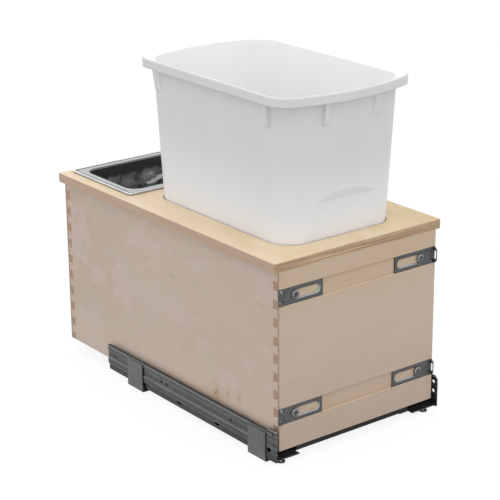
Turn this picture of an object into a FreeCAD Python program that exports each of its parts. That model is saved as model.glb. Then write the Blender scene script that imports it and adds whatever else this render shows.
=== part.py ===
import FreeCAD, Part
import math
import os

# Pull-out waste unit: a dovetailed box on undermount slides, with a bin and a food pan.
# Working axes: X across (centre of the box at 0), Y from the front face of the box to the
# rear, Z up from the cabinet floor. The left half mirrors the right half, which is +X.

V = FreeCAD.Vector
X, Y, Z = V(1, 0, 0), V(0, 1, 0), V(0, 0, 1)

# ---------------------------------------------------------------- driving sizes, mm

# Box and platform
PLATFORM_WIDTH = 301.6
PLATFORM_DEPTH = 535.1
PLATFORM_THICKNESS = 14.3
PLATFORM_EASE = 0.8
SIDE_OVERHANG = 8.5
REAR_OVERHANG = 3.5
BOX_HEIGHT = 261.2
BOX_CLEAR_OF_FLOOR = 20.2
SIDE_THICKNESS = 12.7
END_THICKNESS = 12.7
FLOOR_THICKNESS = 12.7
FLOOR_RECESS = 12.7
GROOVE_DEPTH = 6.4
GROOVE_GAP = 0.5

# Half-blind dovetails, seen on the side panels
PIN_PITCH = 26.3
PIN_FIRST = 20.9
PIN_NARROW = 11.8
PIN_WIDE = 14.6
PIN_LAP = 3.2

# Dado grooves across the front, and the door brackets in them
DADO_HEIGHT = 25.0
DADO_DEPTH = 2.5
UPPER_DADO_DROP = 36.9
LOWER_DADO_RISE = 50.8
BRACKET_LENGTH = 76.0
BRACKET_SHEET = 1.8
BRACKET_GAP = 0.3
BRACKET_INSET = 0.6
EAR_REACH = 7.1
EAR_CORNER = 5.5
EAR_SLOT = (13.0, 4.4)
BRACKET_SLOT = (47.0, 11.0)
SLOT_DISH = 1.7
SLOT_FROM_END = 46.9
PIERCING_RADIUS = 1.1
PIERCING_FROM_END = 8.0
PIERCING_PITCH = 6.5
DOOR_SCREW_FROM_END = 27.5
DOOR_SCREW_HEAD = (6.3, 2.6)
DOOR_SCREW_SHANK = (2.2, 9.0)
DRIVE_RADIUS = 2.0
DRIVE_DEPTH = 1.5
CROWN_SHARE = 0.7

# Dowels between the side panels and the platform
DOWEL_RADIUS = 3.0
DOWEL_IN_PANEL = 14.0
DOWEL_IN_PLATFORM = 9.0
DOWEL_END_MARGIN = 60.0
DOWELS_A_SIDE = 3
GLUE_GAP = 0.05

# Waste bin
BIN_RIM_WIDTH = 240.9
BIN_FRONT_SETBACK = 5.5
BIN_RIM_ABOVE_PLATFORM = 211.5
BIN_BOW = 25.5
BIN_BASE_BOW = 1.5
BIN_BASE_DRAW = 13.5
BIN_RELIEF = 6.3
BIN_WALL = 2.4
BIN_TAPER = 2.9
BIN_CORNER = 48.0
BIN_BASE_CORNER = 23.0
BIN_BASE_EDGE = 7.0
RIM_CORNER = 36.0
RIM_OVERHANG = 9.3
RIM_SKIRT = 13.0
RIM_SHEET = 2.6
RIM_ROUND = 2.3
RIM_LAND = 3.0
RIM_DIP = 4.0
MOUTH_OVERLAP = 0.6
LUG_WIDTH = 9.0
LUG_DROP = 45.0
LUG_TOP_DEPTH = 6.2
LUG_FOOT_DEPTH = 2.6
END_LUG_SPACING = 91.0
SIDE_LUG_FROM_END = 60.85
RELIEF_RISE = 55.0
RELIEF_SHELF = 4.4
RELIEF_SHELF_RISE = 11.0
BIN_HOLE_GAP = 1.5
BIN_HOLE_CORNER = 37.0
SEAT_GAP = 0.3

# Food pan
PAN_DEPTH = 65.0
PAN_FLANGE_LENGTH = 161.0
PAN_REAR_SETBACK = 8.4
PAN_TO_WALL = 10.1
PAN_FLANGE = 13.0
PAN_SHEET = 1.0
PAN_TAPER = 6.0
PAN_CORNER = 22.0
PAN_FLANGE_CORNER = 6.5
PAN_BASE_EDGE = 11.0
PAN_FLANGE_RISE = 2.6
PAN_FLANGE_ROUND = 0.6
PAN_HOLE_GAP = 1.5
RIM_OVER_PAN = 13.5

# Fixed cabinet rails
RAIL_SHEET = 1.5
RAIL_BEND = 0.6
RAIL_BOTTOM = 6.2
RAIL_HEIGHT = 42.1
RAIL_FRONT = -5.0
RAIL_LENGTH = 417.5
RAIL_LIP = 4.0
RAIL_RIB = 1.0
RAIL_RIB_DROP = 8.1
RAIL_RIB_RISE = 9.2
RAIL_STEP = 2.2
RAIL_STEP_HEIGHT = 11.8
FRONT_PLATE = 29.0
FRONT_TAB_RISE = 6.0
FRONT_TAB_LENGTH = 17.0
FRONT_TAB_CORNER = 7.5
FRONT_TAB_EDGE = 2.0
FRONT_HOLE_RADIUS = 2.75
FRONT_HOLE_SETBACK = 7.8
FRONT_HOLE_DROPS = (10.1, 24.6)
FRONT_WINDOW = (9.0, 6.0)
FRONT_WINDOW_PLACE = (13.0, 14.5)
RAIL_SLOT = (12.0, 4.6)
RAIL_SLOT_PLACES = (135.0, 228.0)
RAIL_SLOT_HEIGHT = 8.6
WEB_HOLE_RADIUS = 2.2
WEB_HOLE_PLACES = (100.0, 256.0, 270.0, 392.0)
WEB_HOLE_HEIGHT = 27.5

# Moving rails, rollers and cages
SLIDE_SHEET = 1.2
SLIDE_BEND = 0.5
LOWER_ROLLER = 3.4
UPPER_ROLLER = 4.0
RUN_CLEARANCE = 0.3
DRAWER_RAIL_HALF = 10.2
DRAWER_RAIL_DROP = 14.2
TRACK_TO_SIDE = 1.4
MID_FOOT_HALF = 10.0
MID_LEG_HALF = 4.7
MID_HEAD_HALF = 7.2
MID_HEAD_HEIGHT = 3.8
MID_SHOULDER = 1.5
MID_SETBACK = 1.3
MID_LENGTH = 388.0
HOOK_HEIGHT = 9.5
HOOK_LIP = 4.5
HOOK_GAP = 0.5
HOOK_START = 35.0
LIP_CLEARANCE = 1.2
CAGE_LENGTH = 110.0
CAGE_SHEET = 1.8
CAGE_SIDE_GAP = 0.4
LOWER_CAGE_CENTRE = 185.0
UPPER_CAGE_CENTRE = 270.0
ROLLER_PITCH = 30.0
ROLLERS_A_CAGE = 3
ROLLER_END_MARGIN = 1.5
BUFFER_LENGTH = 8.0
BUFFER_HEIGHT = 8.3
BUFFER_GAP = 0.5
BUFFER_EDGE = 1.0

# Rear hooks of the drawer rails
HOOK_PIN_RADIUS = 2.8
HOOK_PIN_LENGTH = 5.3
HOOK_PIN_RISE = 11.0
HOOK_BORE_GAP = 0.2
HOOK_PLATE_HALF = 6.0
HOOK_PLATE_ABOVE_PIN = 5.0
NOTCH_MARGIN = 1.4

# Floor brackets, rivets and tie bar
FOOT_SHEET = 1.5
FOOT_WIDTH = 39.0
FOOT_BELOW_RAIL_TOP = 3.8
FOOT_REACH = 54.0
FOOT_BEND = 1.0
FOOT_PLACES = {"front": 38.5, "rear": 337.5}
FOOT_HOLE_RADIUS = 2.4
FOOT_HOLE_SPACING = 24.0
FOOT_HOLE_INSET = 6.5
TONGUE_WIDTH = 12.0
TONGUE_FROM_EDGE = 17.0
TONGUE_TIP = 1.0
TONGUE_HOLE_RADIUS = 2.2
RIVET_RADIUS = 2.0
RIVET_HEAD = (3.2, 1.2)
RIVET_SPACING = 24.0
RIVET_HEIGHT = 22.0
TIE_SHEET = 1.5
TIE_FRONT = 9.0
TIE_DEPTH = 15.0
TIE_LEG = 8.3
TIE_END_GAP = 0.5
TIE_LEG_MARGIN = 1.5
TIE_RIVET_INSET = 14.0

# Lock clips and release levers, under the front of the box
CLIP_WIDTH = 24.0
CLIP_LENGTH = 62.0
CLIP_DROP = 12.0
CLIP_PLATE = 2.8
CLIP_WALL = 4.5
CLIP_GAP = 0.3
CLIP_HEAD = 18.0
LEVER_PIVOT_SETBACK = 25.0
LEVER_PIVOT_RADIUS = 2.0
LEVER_BORE_GAP = 0.08
LEVER_EYE = 4.5
LEVER_ARM = 6.0
LEVER_REACH = 58.0
LEVER_GAP = 0.4
LEVER_PAD = (11.0, 13.0)
LEVER_PAD_CORNER = 3.6
TOOTH_WIDTH = 5.0
TOOTH_LEAN = 3.0
TOOTH_SETBACK = 20.0
TOOTH_GAP = 0.8
CLIP_SCREW_SPACING = 12.0
CLIP_SCREW_HEAD = (3.2, 2.0)
CLIP_SCREW_SHANK = (1.8, 17.0)

# Distance under which two places are the same
TOUCH = 1e-4

# ---------------------------------------------------------------- places that follow

BOX_HALF = PLATFORM_WIDTH / 2 - SIDE_OVERHANG
BOX_DEPTH = PLATFORM_DEPTH - REAR_OVERHANG
BOX_BOTTOM = BOX_CLEAR_OF_FLOOR
BOX_TOP = BOX_BOTTOM + BOX_HEIGHT
INNER_HALF = BOX_HALF - SIDE_THICKNESS
PLATFORM_TOP = BOX_TOP + PLATFORM_THICKNESS
FLOOR_UNDER = BOX_BOTTOM + FLOOR_RECESS
FLOOR_OVER = FLOOR_UNDER + FLOOR_THICKNESS
UPPER_DADO = BOX_TOP - UPPER_DADO_DROP
LOWER_DADO = BOX_BOTTOM + LOWER_DADO_RISE

PAN_REAR = PLATFORM_DEPTH - PAN_REAR_SETBACK
PAN_FRONT = PAN_REAR - PAN_FLANGE_LENGTH
PAN_Y = (PAN_FRONT + PAN_REAR) / 2
PAN_HALF = INNER_HALF - PAN_TO_WALL
PAN_HALF_Y = PAN_FLANGE_LENGTH / 2 - PAN_FLANGE
PAN_BOTTOM = PLATFORM_TOP + PAN_FLANGE_RISE - PAN_DEPTH

BIN_SLOPE = math.tan(math.radians(BIN_TAPER))
BIN_TOP = PLATFORM_TOP + BIN_RIM_ABOVE_PLATFORM
BIN_BOTTOM = FLOOR_OVER + SEAT_GAP
BIN_REAR = PAN_FRONT + RIM_OVER_PAN
BIN_Y = (BIN_FRONT_SETBACK + BIN_REAR) / 2
RIM_HALF = BIN_RIM_WIDTH / 2
RIM_HALF_Y = (BIN_REAR - BIN_FRONT_SETBACK) / 2
RIM_OUTLINE = (RIM_HALF, RIM_HALF_Y, RIM_CORNER, BIN_BOW)
BODY_OUTLINE = (RIM_HALF - RIM_OVERHANG, RIM_HALF_Y - RIM_OVERHANG, BIN_CORNER, BIN_BOW)
RELIEF_TOP = PLATFORM_TOP + RELIEF_RISE

TRACK_X = INNER_HALF - TRACK_TO_SIDE - DRAWER_RAIL_HALF
RAIL_X = PLATFORM_WIDTH / 2
RAIL_TOP = RAIL_BOTTOM + RAIL_HEIGHT
RAIL_REAR = RAIL_FRONT + RAIL_LENGTH
FLANGE_TOP = RAIL_BOTTOM + RAIL_SHEET
FLANGE_END = TRACK_X - MID_FOOT_HALF - HOOK_GAP - RAIL_SHEET
LOWER_AXIS = FLANGE_TOP + RUN_CLEARANCE + LOWER_ROLLER / 2
MID_BOTTOM = FLANGE_TOP + LOWER_ROLLER + 2 * RUN_CLEARANCE
MID_TOP = FLOOR_UNDER - SLIDE_SHEET - UPPER_ROLLER - 2 * RUN_CLEARANCE
UPPER_AXIS = MID_TOP + RUN_CLEARANCE + UPPER_ROLLER / 2
MID_FRONT = END_THICKNESS + MID_SETBACK
MID_REAR = MID_FRONT + MID_LENGTH
DRAWER_RAIL_FRONT = END_THICKNESS + GROOVE_GAP
HOOK_PIN_Z = FLOOR_UNDER + HOOK_PIN_RISE
CLIP_X = TRACK_X - DRAWER_RAIL_HALF - CLIP_GAP
CLIP_BOTTOM = FLOOR_UNDER - CLIP_DROP
LEVER_X = CLIP_X - CLIP_WALL - LEVER_EYE - LEVER_GAP
LEVER_PIVOT_Y = END_THICKNESS + LEVER_PIVOT_SETBACK
LEVER_BOTTOM = CLIP_BOTTOM + CLIP_PLATE + LEVER_GAP
LEVER_TOP = FLOOR_UNDER - CLIP_PLATE - LEVER_GAP
CENTRE_Y = (PLATFORM_DEPTH + RAIL_FRONT) / 2

SIDES = {"left": -1, "right": 1}


# ---------------------------------------------------------------- shape helpers


def block(x, y, z):
    """Box between pairs of limits, each (low, high)."""
    size = (x[1] - x[0], y[1] - y[0], z[1] - z[0])
    return Part.makeBox(*size, V(x[0], y[0], z[0]))


def span(middle, length):
    """Limits of a length centred on a place."""
    return (middle - length / 2, middle + length / 2)


def rod(radius, start, end):
    """Cylinder between two points."""
    return Part.makeCylinder(radius, (end - start).Length, start, end - start)


def rounded(points, radii):
    """Closed wire through points, each corner rounded by a tangent arc of its radius."""
    edges, ends = [], []
    for index, point in enumerate(points):
        to_last = (points[index - 1] - point).normalize()
        to_next = (points[(index + 1) % len(points)] - point).normalize()
        radius = radii[index]
        if not radius:
            ends.append((point, point))
            continue
        half = to_last.getAngle(to_next) / 2
        bisector = (to_last + to_next).normalize()
        middle = point + bisector * (radius / math.sin(half) - radius)
        reach = radius / math.tan(half)
        first, last = point + to_last * reach, point + to_next * reach
        ends.append((first, last))
        edges.append(Part.Arc(first, middle, last).toShape())
    for index, (_, last) in enumerate(ends):
        first = ends[(index + 1) % len(ends)][0]
        if last.distanceToPoint(first) > 1e-6:
            edges.append(Part.makeLine(last, first))
    return Part.Wire(Part.__sortEdges__(edges))


def prism(wire, direction):
    """Solid swept from a flat closed wire along a vector."""
    return Part.Face(wire).extrude(direction)


def rectangle(half_x, half_y, radius, centre):
    """Horizontal rounded rectangle about a centre point."""
    corners = ((-1, -1), (1, -1), (1, 1), (-1, 1))
    points = [centre + V(sx * half_x, sy * half_y, 0) for sx, sy in corners]
    return rounded(points, [radius] * 4)


def stadium(centre, along, across, size):
    """Long hole with round ends: size is (length, width), measured over the ends."""
    radius = size[1] / 2
    reach = along * (size[0] / 2 - radius)
    side, tip = across * radius, along * radius
    left, right = centre - reach, centre + reach
    return Part.Wire([
        Part.makeLine(left + side, right + side),
        Part.Arc(right + side, right + tip, right - side).toShape(),
        Part.makeLine(right - side, left - side),
        Part.Arc(left - side, left - tip, left + side).toShape(),
    ])


def folded(path, sheet, bend, length, start):
    """Folded sheet: path of (x, z, bent) along one face, the metal on its left for a
    positive sheet and on its right for a negative one, run along Y from start."""
    points = [V(x, 0, z) for x, z, _ in path]
    headings = [(q - p).normalize() for p, q in zip(points, points[1:])]
    normals = [V(-h.z, 0, h.x) for h in headings]
    other, near_radii, far_radii = [], [], []
    for index, point in enumerate(points):
        before, after = normals[max(index - 1, 0)], normals[min(index, len(normals) - 1)]
        other.append(point + (before + after) * (sheet / (1 + before.dot(after))))
        turns_left = before.cross(after).y < 0
        inside = turns_left == (sheet > 0)
        bent = path[index][2]
        near_radii.append(bent * (bend if inside is False else bend + abs(sheet)))
        far_radii.append(bent * (bend + abs(sheet) if inside is False else bend))
    wire = rounded(points + other[::-1], near_radii + far_radii[::-1])
    wire.translate(V(0, start, 0))
    return prism(wire, V(0, length, 0))


def fillet_at(shape, radius, height):
    """Rounds every edge that lies flat at a height."""
    edges = [e for e in shape.Edges
             if abs(e.BoundBox.ZMin - height) < TOUCH and abs(e.BoundBox.ZMax - height) < TOUCH]
    return shape.makeFillet(radius, edges)


def screw(head, shank, seat, out):
    """Screw with a domed head; seat is where the head meets the work, out points from it."""
    head_radius, head_height = head
    body = Part.makeCylinder(head_radius, head_height, seat, out)
    crown = seat + out * head_height
    rim = [e for e in body.Edges if e.Closed and e.CenterOfMass.distanceToPoint(crown) < TOUCH]
    body = body.makeFillet(head_height * CROWN_SHARE, rim)
    drive = Part.makeCylinder(DRIVE_RADIUS, DRIVE_DEPTH, crown, -out)
    return body.cut(drive).fuse(Part.makeCylinder(shank[0], shank[1], seat, -out))


def on_side(shape, sign):
    """A right-hand shape as it is, or mirrored to the left."""
    return shape if sign > 0 else shape.mirror(V(0, 0, 0), X)


def cut_all(shape, tools):
    """Shape with each tool cut away."""
    for tool in tools:
        shape = shape.cut(tool)
    return shape


# ---------------------------------------------------------------- wooden box


def pin_heights():
    """Heights of the dovetail pins' centres, from the top of the box down."""
    count = int((BOX_HEIGHT - PIN_FIRST + PIN_WIDE / 2) / PIN_PITCH) + 1
    return [BOX_TOP - PIN_FIRST - PIN_PITCH * index for index in range(count)]


def pin_prism(height, lap_y, inner_y):
    """Dovetail pin across the side panel's thickness, narrow at the lap."""
    narrow, wide = PIN_NARROW / 2, PIN_WIDE / 2
    points = [V(INNER_HALF, lap_y, height - narrow), V(INNER_HALF, lap_y, height + narrow),
              V(INNER_HALF, inner_y, height + wide), V(INNER_HALF, inner_y, height - wide)]
    return prism(rounded(points, [0] * 4), V(SIDE_THICKNESS, 0, 0))


def floor_block(margin):
    """Floor panel, or with a margin the groove space that holds it."""
    reach = GROOVE_DEPTH - GROOVE_GAP + margin
    return block((-INNER_HALF - reach, INNER_HALF + reach),
                 (END_THICKNESS - reach, BOX_DEPTH - END_THICKNESS + reach),
                 (FLOOR_UNDER, FLOOR_OVER))


def dowel_places():
    """Y places of the dowels along a side panel."""
    first, last = DOWEL_END_MARGIN, BOX_DEPTH - DOWEL_END_MARGIN
    step = (last - first) / (DOWELS_A_SIDE - 1)
    return [first + step * index for index in range(DOWELS_A_SIDE)]


def dowels(gap):
    """Dowels, or with a gap the holes for them, on the right side."""
    x = INNER_HALF + SIDE_THICKNESS / 2
    low, high = BOX_TOP - DOWEL_IN_PANEL - gap, BOX_TOP + DOWEL_IN_PLATFORM + gap
    return [rod(DOWEL_RADIUS + gap, V(x, y, low), V(x, y, high)) for y in dowel_places()]


def side_panel():
    """Right side panel: tails at both ends, groove for the floor, dowel holes."""
    panel = block((INNER_HALF, BOX_HALF), (PIN_LAP, BOX_DEPTH - PIN_LAP), (BOX_BOTTOM, BOX_TOP))
    rear_lap, rear_inner = BOX_DEPTH - PIN_LAP, BOX_DEPTH - END_THICKNESS
    for height in pin_heights():
        panel = panel.cut(pin_prism(height, PIN_LAP, END_THICKNESS))
        panel = panel.cut(pin_prism(height, rear_lap, rear_inner))
    return cut_all(panel, [floor_block(GROOVE_GAP)] + dowels(GLUE_GAP))


def end_panel(y, side):
    """Front or back panel between limits, with pins where both side panels have tails."""
    panel = block((-BOX_HALF, BOX_HALF), y, (BOX_BOTTOM, BOX_TOP))
    return cut_all(panel, [side, on_side(side, -1), floor_block(GROOVE_GAP)])


def dado_heights():
    """Mid heights of the two grooves across the front."""
    return {"upper": UPPER_DADO, "lower": LOWER_DADO}


def front_panel(side):
    """Front panel with its two dado grooves and the screws' pilot holes."""
    panel = end_panel((0, END_THICKNESS), side)
    for height in dado_heights().values():
        panel = panel.cut(block((-BOX_HALF, BOX_HALF), (0, DADO_DEPTH), span(height, DADO_HEIGHT)))
        for sign in SIDES.values():
            panel = panel.cut(door_pilot(sign, height))
    return panel


def back_panel(side):
    """Back panel, notched over the slides and bored for the rails' hooks."""
    panel = end_panel((BOX_DEPTH - END_THICKNESS, BOX_DEPTH), side)
    notch_end = TRACK_X - DRAWER_RAIL_HALF - NOTCH_MARGIN
    for sign in SIDES.values():
        notch = block((notch_end, INNER_HALF), (BOX_DEPTH - END_THICKNESS, BOX_DEPTH),
                      (BOX_BOTTOM, FLOOR_UNDER))
        bore = rod(HOOK_PIN_RADIUS + HOOK_BORE_GAP, V(TRACK_X, BOX_DEPTH, HOOK_PIN_Z),
                   V(TRACK_X, BOX_DEPTH - HOOK_PIN_LENGTH - HOOK_BORE_GAP, HOOK_PIN_Z))
        panel = cut_all(panel, [on_side(notch, sign), on_side(bore, sign)])
    return panel


def floor_panel():
    """Floor of the box, with blind holes for the clip screws."""
    holes = [on_side(hole, sign) for hole in clip_screw_holes() for sign in SIDES.values()]
    return cut_all(floor_block(0), holes)


def platform():
    """Plywood platform with the two cut-outs."""
    slab = block(span(0, PLATFORM_WIDTH), (0, PLATFORM_DEPTH), (BOX_TOP, PLATFORM_TOP))
    slab = slab.makeFillet(PLATFORM_EASE, slab.Edges)
    down = V(0, 0, -PLATFORM_THICKNESS)
    bin_hole = rectangle(bin_half_at(PLATFORM_TOP) + BIN_HOLE_GAP, flat_at_platform() + BIN_HOLE_GAP,
                         BIN_HOLE_CORNER, V(0, BIN_Y, PLATFORM_TOP))
    pan_hole = rectangle(PAN_HALF + PAN_HOLE_GAP, PAN_HALF_Y + PAN_HOLE_GAP,
                         PAN_CORNER, V(0, PAN_Y, PLATFORM_TOP))
    holes = [on_side(hole, sign) for hole in dowels(GLUE_GAP) for sign in SIDES.values()]
    return cut_all(slab, [prism(bin_hole, down), prism(pan_hole, down)] + holes)


# ---------------------------------------------------------------- waste bin


def taper_at(z):
    """How far the bin's sides have drawn in at a height."""
    return (BIN_TOP - z) * BIN_SLOPE


def body_outline(z):
    """The body's half width, half length over its bowed ends, corner and bow at a height."""
    share = (BIN_TOP - z) / (BIN_TOP - BIN_BOTTOM)
    half_width, half_length, _, _ = BODY_OUTLINE
    corner = BIN_CORNER + (BIN_BASE_CORNER - BIN_CORNER) * share
    bow = BIN_BOW + (BIN_BASE_BOW - BIN_BOW) * share
    return (half_width - taper_at(z), half_length - taper_at(z) - BIN_BASE_DRAW * share,
            corner, bow)


def bin_half_at(z):
    """Half the body's width at a height."""
    return body_outline(z)[0]


def bin_crest_at(z):
    """Half the body's length over its bowed ends at a height."""
    return body_outline(z)[1]


def flat_at_platform():
    """Half the body's length over its flat ends where it passes the platform."""
    return bin_crest_at(PLATFORM_TOP) - BIN_RELIEF


def end_radius(half_width, bow):
    """Radius of an end that bows out over its whole width."""
    return (half_width ** 2 + bow ** 2) / (2 * bow)


def bowed(outline, inset, z):
    """Rounded rectangle with bowed short ends about the bin's centre, drawn in all round."""
    half_width, half_length, corner, _ = (size - inset for size in outline)
    bow = end_radius(outline[0], outline[3]) - inset
    across = half_width - corner
    rise = math.sqrt((bow - corner) ** 2 - across ** 2)
    turn = math.atan2(rise, across) / 2
    centre_y = half_length - bow + rise
    scale = bow / (bow - corner)
    side = (half_width, centre_y)
    middle = (across + corner * math.cos(turn), centre_y + corner * math.sin(turn))
    meet = (across * scale, half_length - bow + rise * scale)
    crest = (0, half_length)

    def at(point, sx, sy):
        return V(sx * point[0], BIN_Y + sy * point[1], z)

    edges = []
    for sx, sy in ((1, 1), (-1, 1), (-1, -1), (1, -1)):
        edges.append(Part.Arc(at(side, sx, sy), at(middle, sx, sy), at(meet, sx, sy)).toShape())
    for sign in (1, -1):
        edges.append(Part.Arc(at(meet, 1, sign), at(crest, 1, sign), at(meet, -1, sign)).toShape())
        edges.append(Part.makeLine(at(side, sign, 1), at(side, sign, -1)))
    return Part.Wire(Part.__sortEdges__(edges))


def end_profile(inset, bottom):
    """Profile of both ends along the bin: flat low down, with a shelf out to the bowed part."""
    flat = flat_at_platform() - inset
    shelf = bin_crest_at(RELIEF_TOP) - RELIEF_SHELF - inset
    clear = RIM_HALF_Y + RIM_OVERHANG
    half = [(flat - (PLATFORM_TOP - bottom) * BIN_SLOPE, bottom), (flat, PLATFORM_TOP),
            (shelf, RELIEF_TOP), (shelf + 2 * RELIEF_SHELF, RELIEF_TOP + 2 * RELIEF_SHELF_RISE),
            (clear, RELIEF_TOP + clear), (clear, BIN_TOP + clear)]
    points = [V(-RIM_HALF, BIN_Y + y, z) for y, z in half + [(-y, z) for y, z in half[::-1]]]
    return rounded(points, [0] * len(points))


def bin_form(inset, bottom):
    """Tapered body with the low relief flattening its bowed ends, inset for the inside."""
    sections = [bowed(body_outline(z), inset, z) for z in (bottom, BIN_TOP)]
    body = fillet_at(Part.makeLoft(sections, True, True), BIN_BASE_EDGE - inset, bottom)
    return body.common(prism(end_profile(inset, bottom), V(2 * RIM_HALF, 0, 0)))


def mouth(top):
    """Funnel from the rim's land down into the bin."""
    sections = [bowed(BODY_OUTLINE, BIN_WALL + MOUTH_OVERLAP, top - RIM_DIP),
                bowed(RIM_OUTLINE, RIM_LAND, top)]
    return Part.makeLoft(sections, True, True)


def rim():
    """Turned-down rim that dips towards the mouth, open underneath."""
    skirt, underside = BIN_TOP - RIM_SKIRT, BIN_TOP - RIM_SHEET
    solid = prism(bowed(RIM_OUTLINE, 0, skirt), V(0, 0, RIM_SKIRT))
    channel = prism(bowed(RIM_OUTLINE, RIM_SHEET, skirt), V(0, 0, underside - skirt))
    return fillet_at(solid, RIM_ROUND, BIN_TOP).cut(channel.cut(mouth(underside)))


def lug(surface, along, place):
    """Stacking lug under the rim: surface is the body's reach at the rim, along the Y or X
    axis for an end or side lug, and place is where it sits on the other axis."""
    top, foot = BIN_TOP - RIM_SHEET, BIN_TOP - LUG_DROP
    reach = surface - taper_at(foot)
    profile = [(reach - BIN_WALL, foot), (reach + LUG_FOOT_DEPTH / 2, foot),
               (reach + LUG_FOOT_DEPTH, foot + LUG_FOOT_DEPTH),
               (surface + LUG_TOP_DEPTH, top), (reach - BIN_WALL, top)]
    if along == Y:
        points = [V(place - LUG_WIDTH / 2, BIN_Y + out, z) for out, z in profile]
        return prism(rounded(points, [0] * len(points)), V(LUG_WIDTH, 0, 0))
    points = [V(out, BIN_Y + place - LUG_WIDTH / 2, z) for out, z in profile]
    return prism(rounded(points, [0] * len(points)), V(0, LUG_WIDTH, 0))


def lugs():
    """Two lugs on each end and on each side of the bin."""
    body_half, body_crest, _, bow_depth = BODY_OUTLINE
    bow = end_radius(body_half, bow_depth)
    sagitta = bow - math.sqrt(bow ** 2 - (END_LUG_SPACING / 2) ** 2)
    found = []
    for sign in (-1, 1):
        end = lug(body_crest - sagitta, Y, sign * END_LUG_SPACING / 2)
        side = lug(body_half, X, sign * (RIM_HALF_Y - SIDE_LUG_FROM_END))
        found += [end, end.mirror(V(0, BIN_Y, 0), Y), side, side.mirror(V(0, 0, 0), X)]
    return found


def waste_bin():
    """Moulded bin: tapered walls, rolled rim, lugs and reliefs."""
    shell = bin_form(0, BIN_BOTTOM).fuse([rim()] + lugs())
    inside = bin_form(BIN_WALL, BIN_BOTTOM + BIN_WALL)
    return cut_all(shell, [inside, mouth(BIN_TOP)]).removeSplitter()


# ---------------------------------------------------------------- food pan


def pan_form(inset, top, bottom):
    """Tapered pan body with a rounded base edge, inset for the inside."""
    sections = []
    for z in (bottom, top):
        drawn = inset + (PLATFORM_TOP + PAN_FLANGE_RISE - z) * math.tan(math.radians(PAN_TAPER))
        sections.append(rectangle(PAN_HALF - drawn, PAN_HALF_Y - drawn, PAN_CORNER - drawn, V(0, PAN_Y, z)))
    return fillet_at(Part.makeLoft(sections, True, True), PAN_BASE_EDGE - inset, bottom)


def food_pan():
    """Drawn steel pan that hangs by its flange."""
    top = PLATFORM_TOP + PAN_FLANGE_RISE
    outer = (PAN_HALF + PAN_FLANGE, PAN_HALF_Y + PAN_FLANGE, PAN_FLANGE_CORNER)
    seat = V(0, PAN_Y, PLATFORM_TOP + SEAT_GAP)
    flange = prism(rectangle(*outer, seat), V(0, 0, PAN_FLANGE_RISE - SEAT_GAP))
    flange = fillet_at(flange, PAN_FLANGE_ROUND, top)
    under = rectangle(*[size - PAN_SHEET for size in outer], seat)
    flange = flange.cut(prism(under, V(0, 0, PAN_FLANGE_RISE - SEAT_GAP - PAN_SHEET)))
    body = pan_form(0, top - PAN_SHEET / 2, PAN_BOTTOM)
    return flange.fuse(body).cut(pan_form(PAN_SHEET, top, PAN_BOTTOM + PAN_SHEET)).removeSplitter()


# ---------------------------------------------------------------- door brackets


def bracket_end():
    """X of the outer end of a right-hand door bracket."""
    return BOX_HALF - BRACKET_INSET


def door_pilot(sign, height):
    """Pilot hole of a door bracket's screw."""
    x = sign * (bracket_end() - DOOR_SCREW_FROM_END)
    depth = DOOR_SCREW_SHANK[1] - BRACKET_SHEET
    return rod(DOOR_SCREW_SHANK[0] + GLUE_GAP, V(x, DADO_DEPTH, height), V(x, DADO_DEPTH + depth, height))


def door_bracket(height):
    """Right-hand door bracket: a dished slot, three pierced holes and a slotted ear."""
    end, front = bracket_end(), DADO_DEPTH - BRACKET_SHEET
    tall = DADO_HEIGHT - 2 * BRACKET_GAP
    plate = block((end - BRACKET_LENGTH, end), (front, DADO_DEPTH), span(height, tall))
    centre = V(end - SLOT_FROM_END, front, height)
    wide = tuple(size + 2 * SLOT_DISH for size in BRACKET_SLOT)
    dish = Part.makeLoft([stadium(centre, X, Z, wide),
                          stadium(centre + Y * SLOT_DISH, X, Z, BRACKET_SLOT)], True, True)
    slot = prism(stadium(centre, X, Z, BRACKET_SLOT), V(0, BRACKET_SHEET, 0))
    cuts = [dish, slot]
    for step in (-1, 0, 1):
        at = V(end - PIERCING_FROM_END, front, height + step * PIERCING_PITCH)
        cuts.append(rod(PIERCING_RADIUS, at, at + Y * BRACKET_SHEET))
    tip = DADO_DEPTH - EAR_REACH
    low, high = span(height, tall)
    ear = rounded([V(end, DADO_DEPTH, low), V(end, tip, low), V(end, tip, high), V(end, DADO_DEPTH, high)],
                  [0, EAR_CORNER, EAR_CORNER, 0])
    ear_slot = stadium(V(end, (front + tip) / 2, height), Z, Y, EAR_SLOT)
    inward = V(-BRACKET_SHEET, 0, 0)
    return cut_all(plate, cuts).fuse(prism(ear, inward)).cut(prism(ear_slot, inward))


def door_screws():
    """The four door bracket screws."""
    found = []
    for height in dado_heights().values():
        for sign in SIDES.values():
            x = sign * (bracket_end() - DOOR_SCREW_FROM_END)
            seat = V(x, DADO_DEPTH - BRACKET_SHEET, height)
            found.append(screw(DOOR_SCREW_HEAD, DOOR_SCREW_SHANK, seat, -Y))
    return found


# ---------------------------------------------------------------- fixed rails


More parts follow.
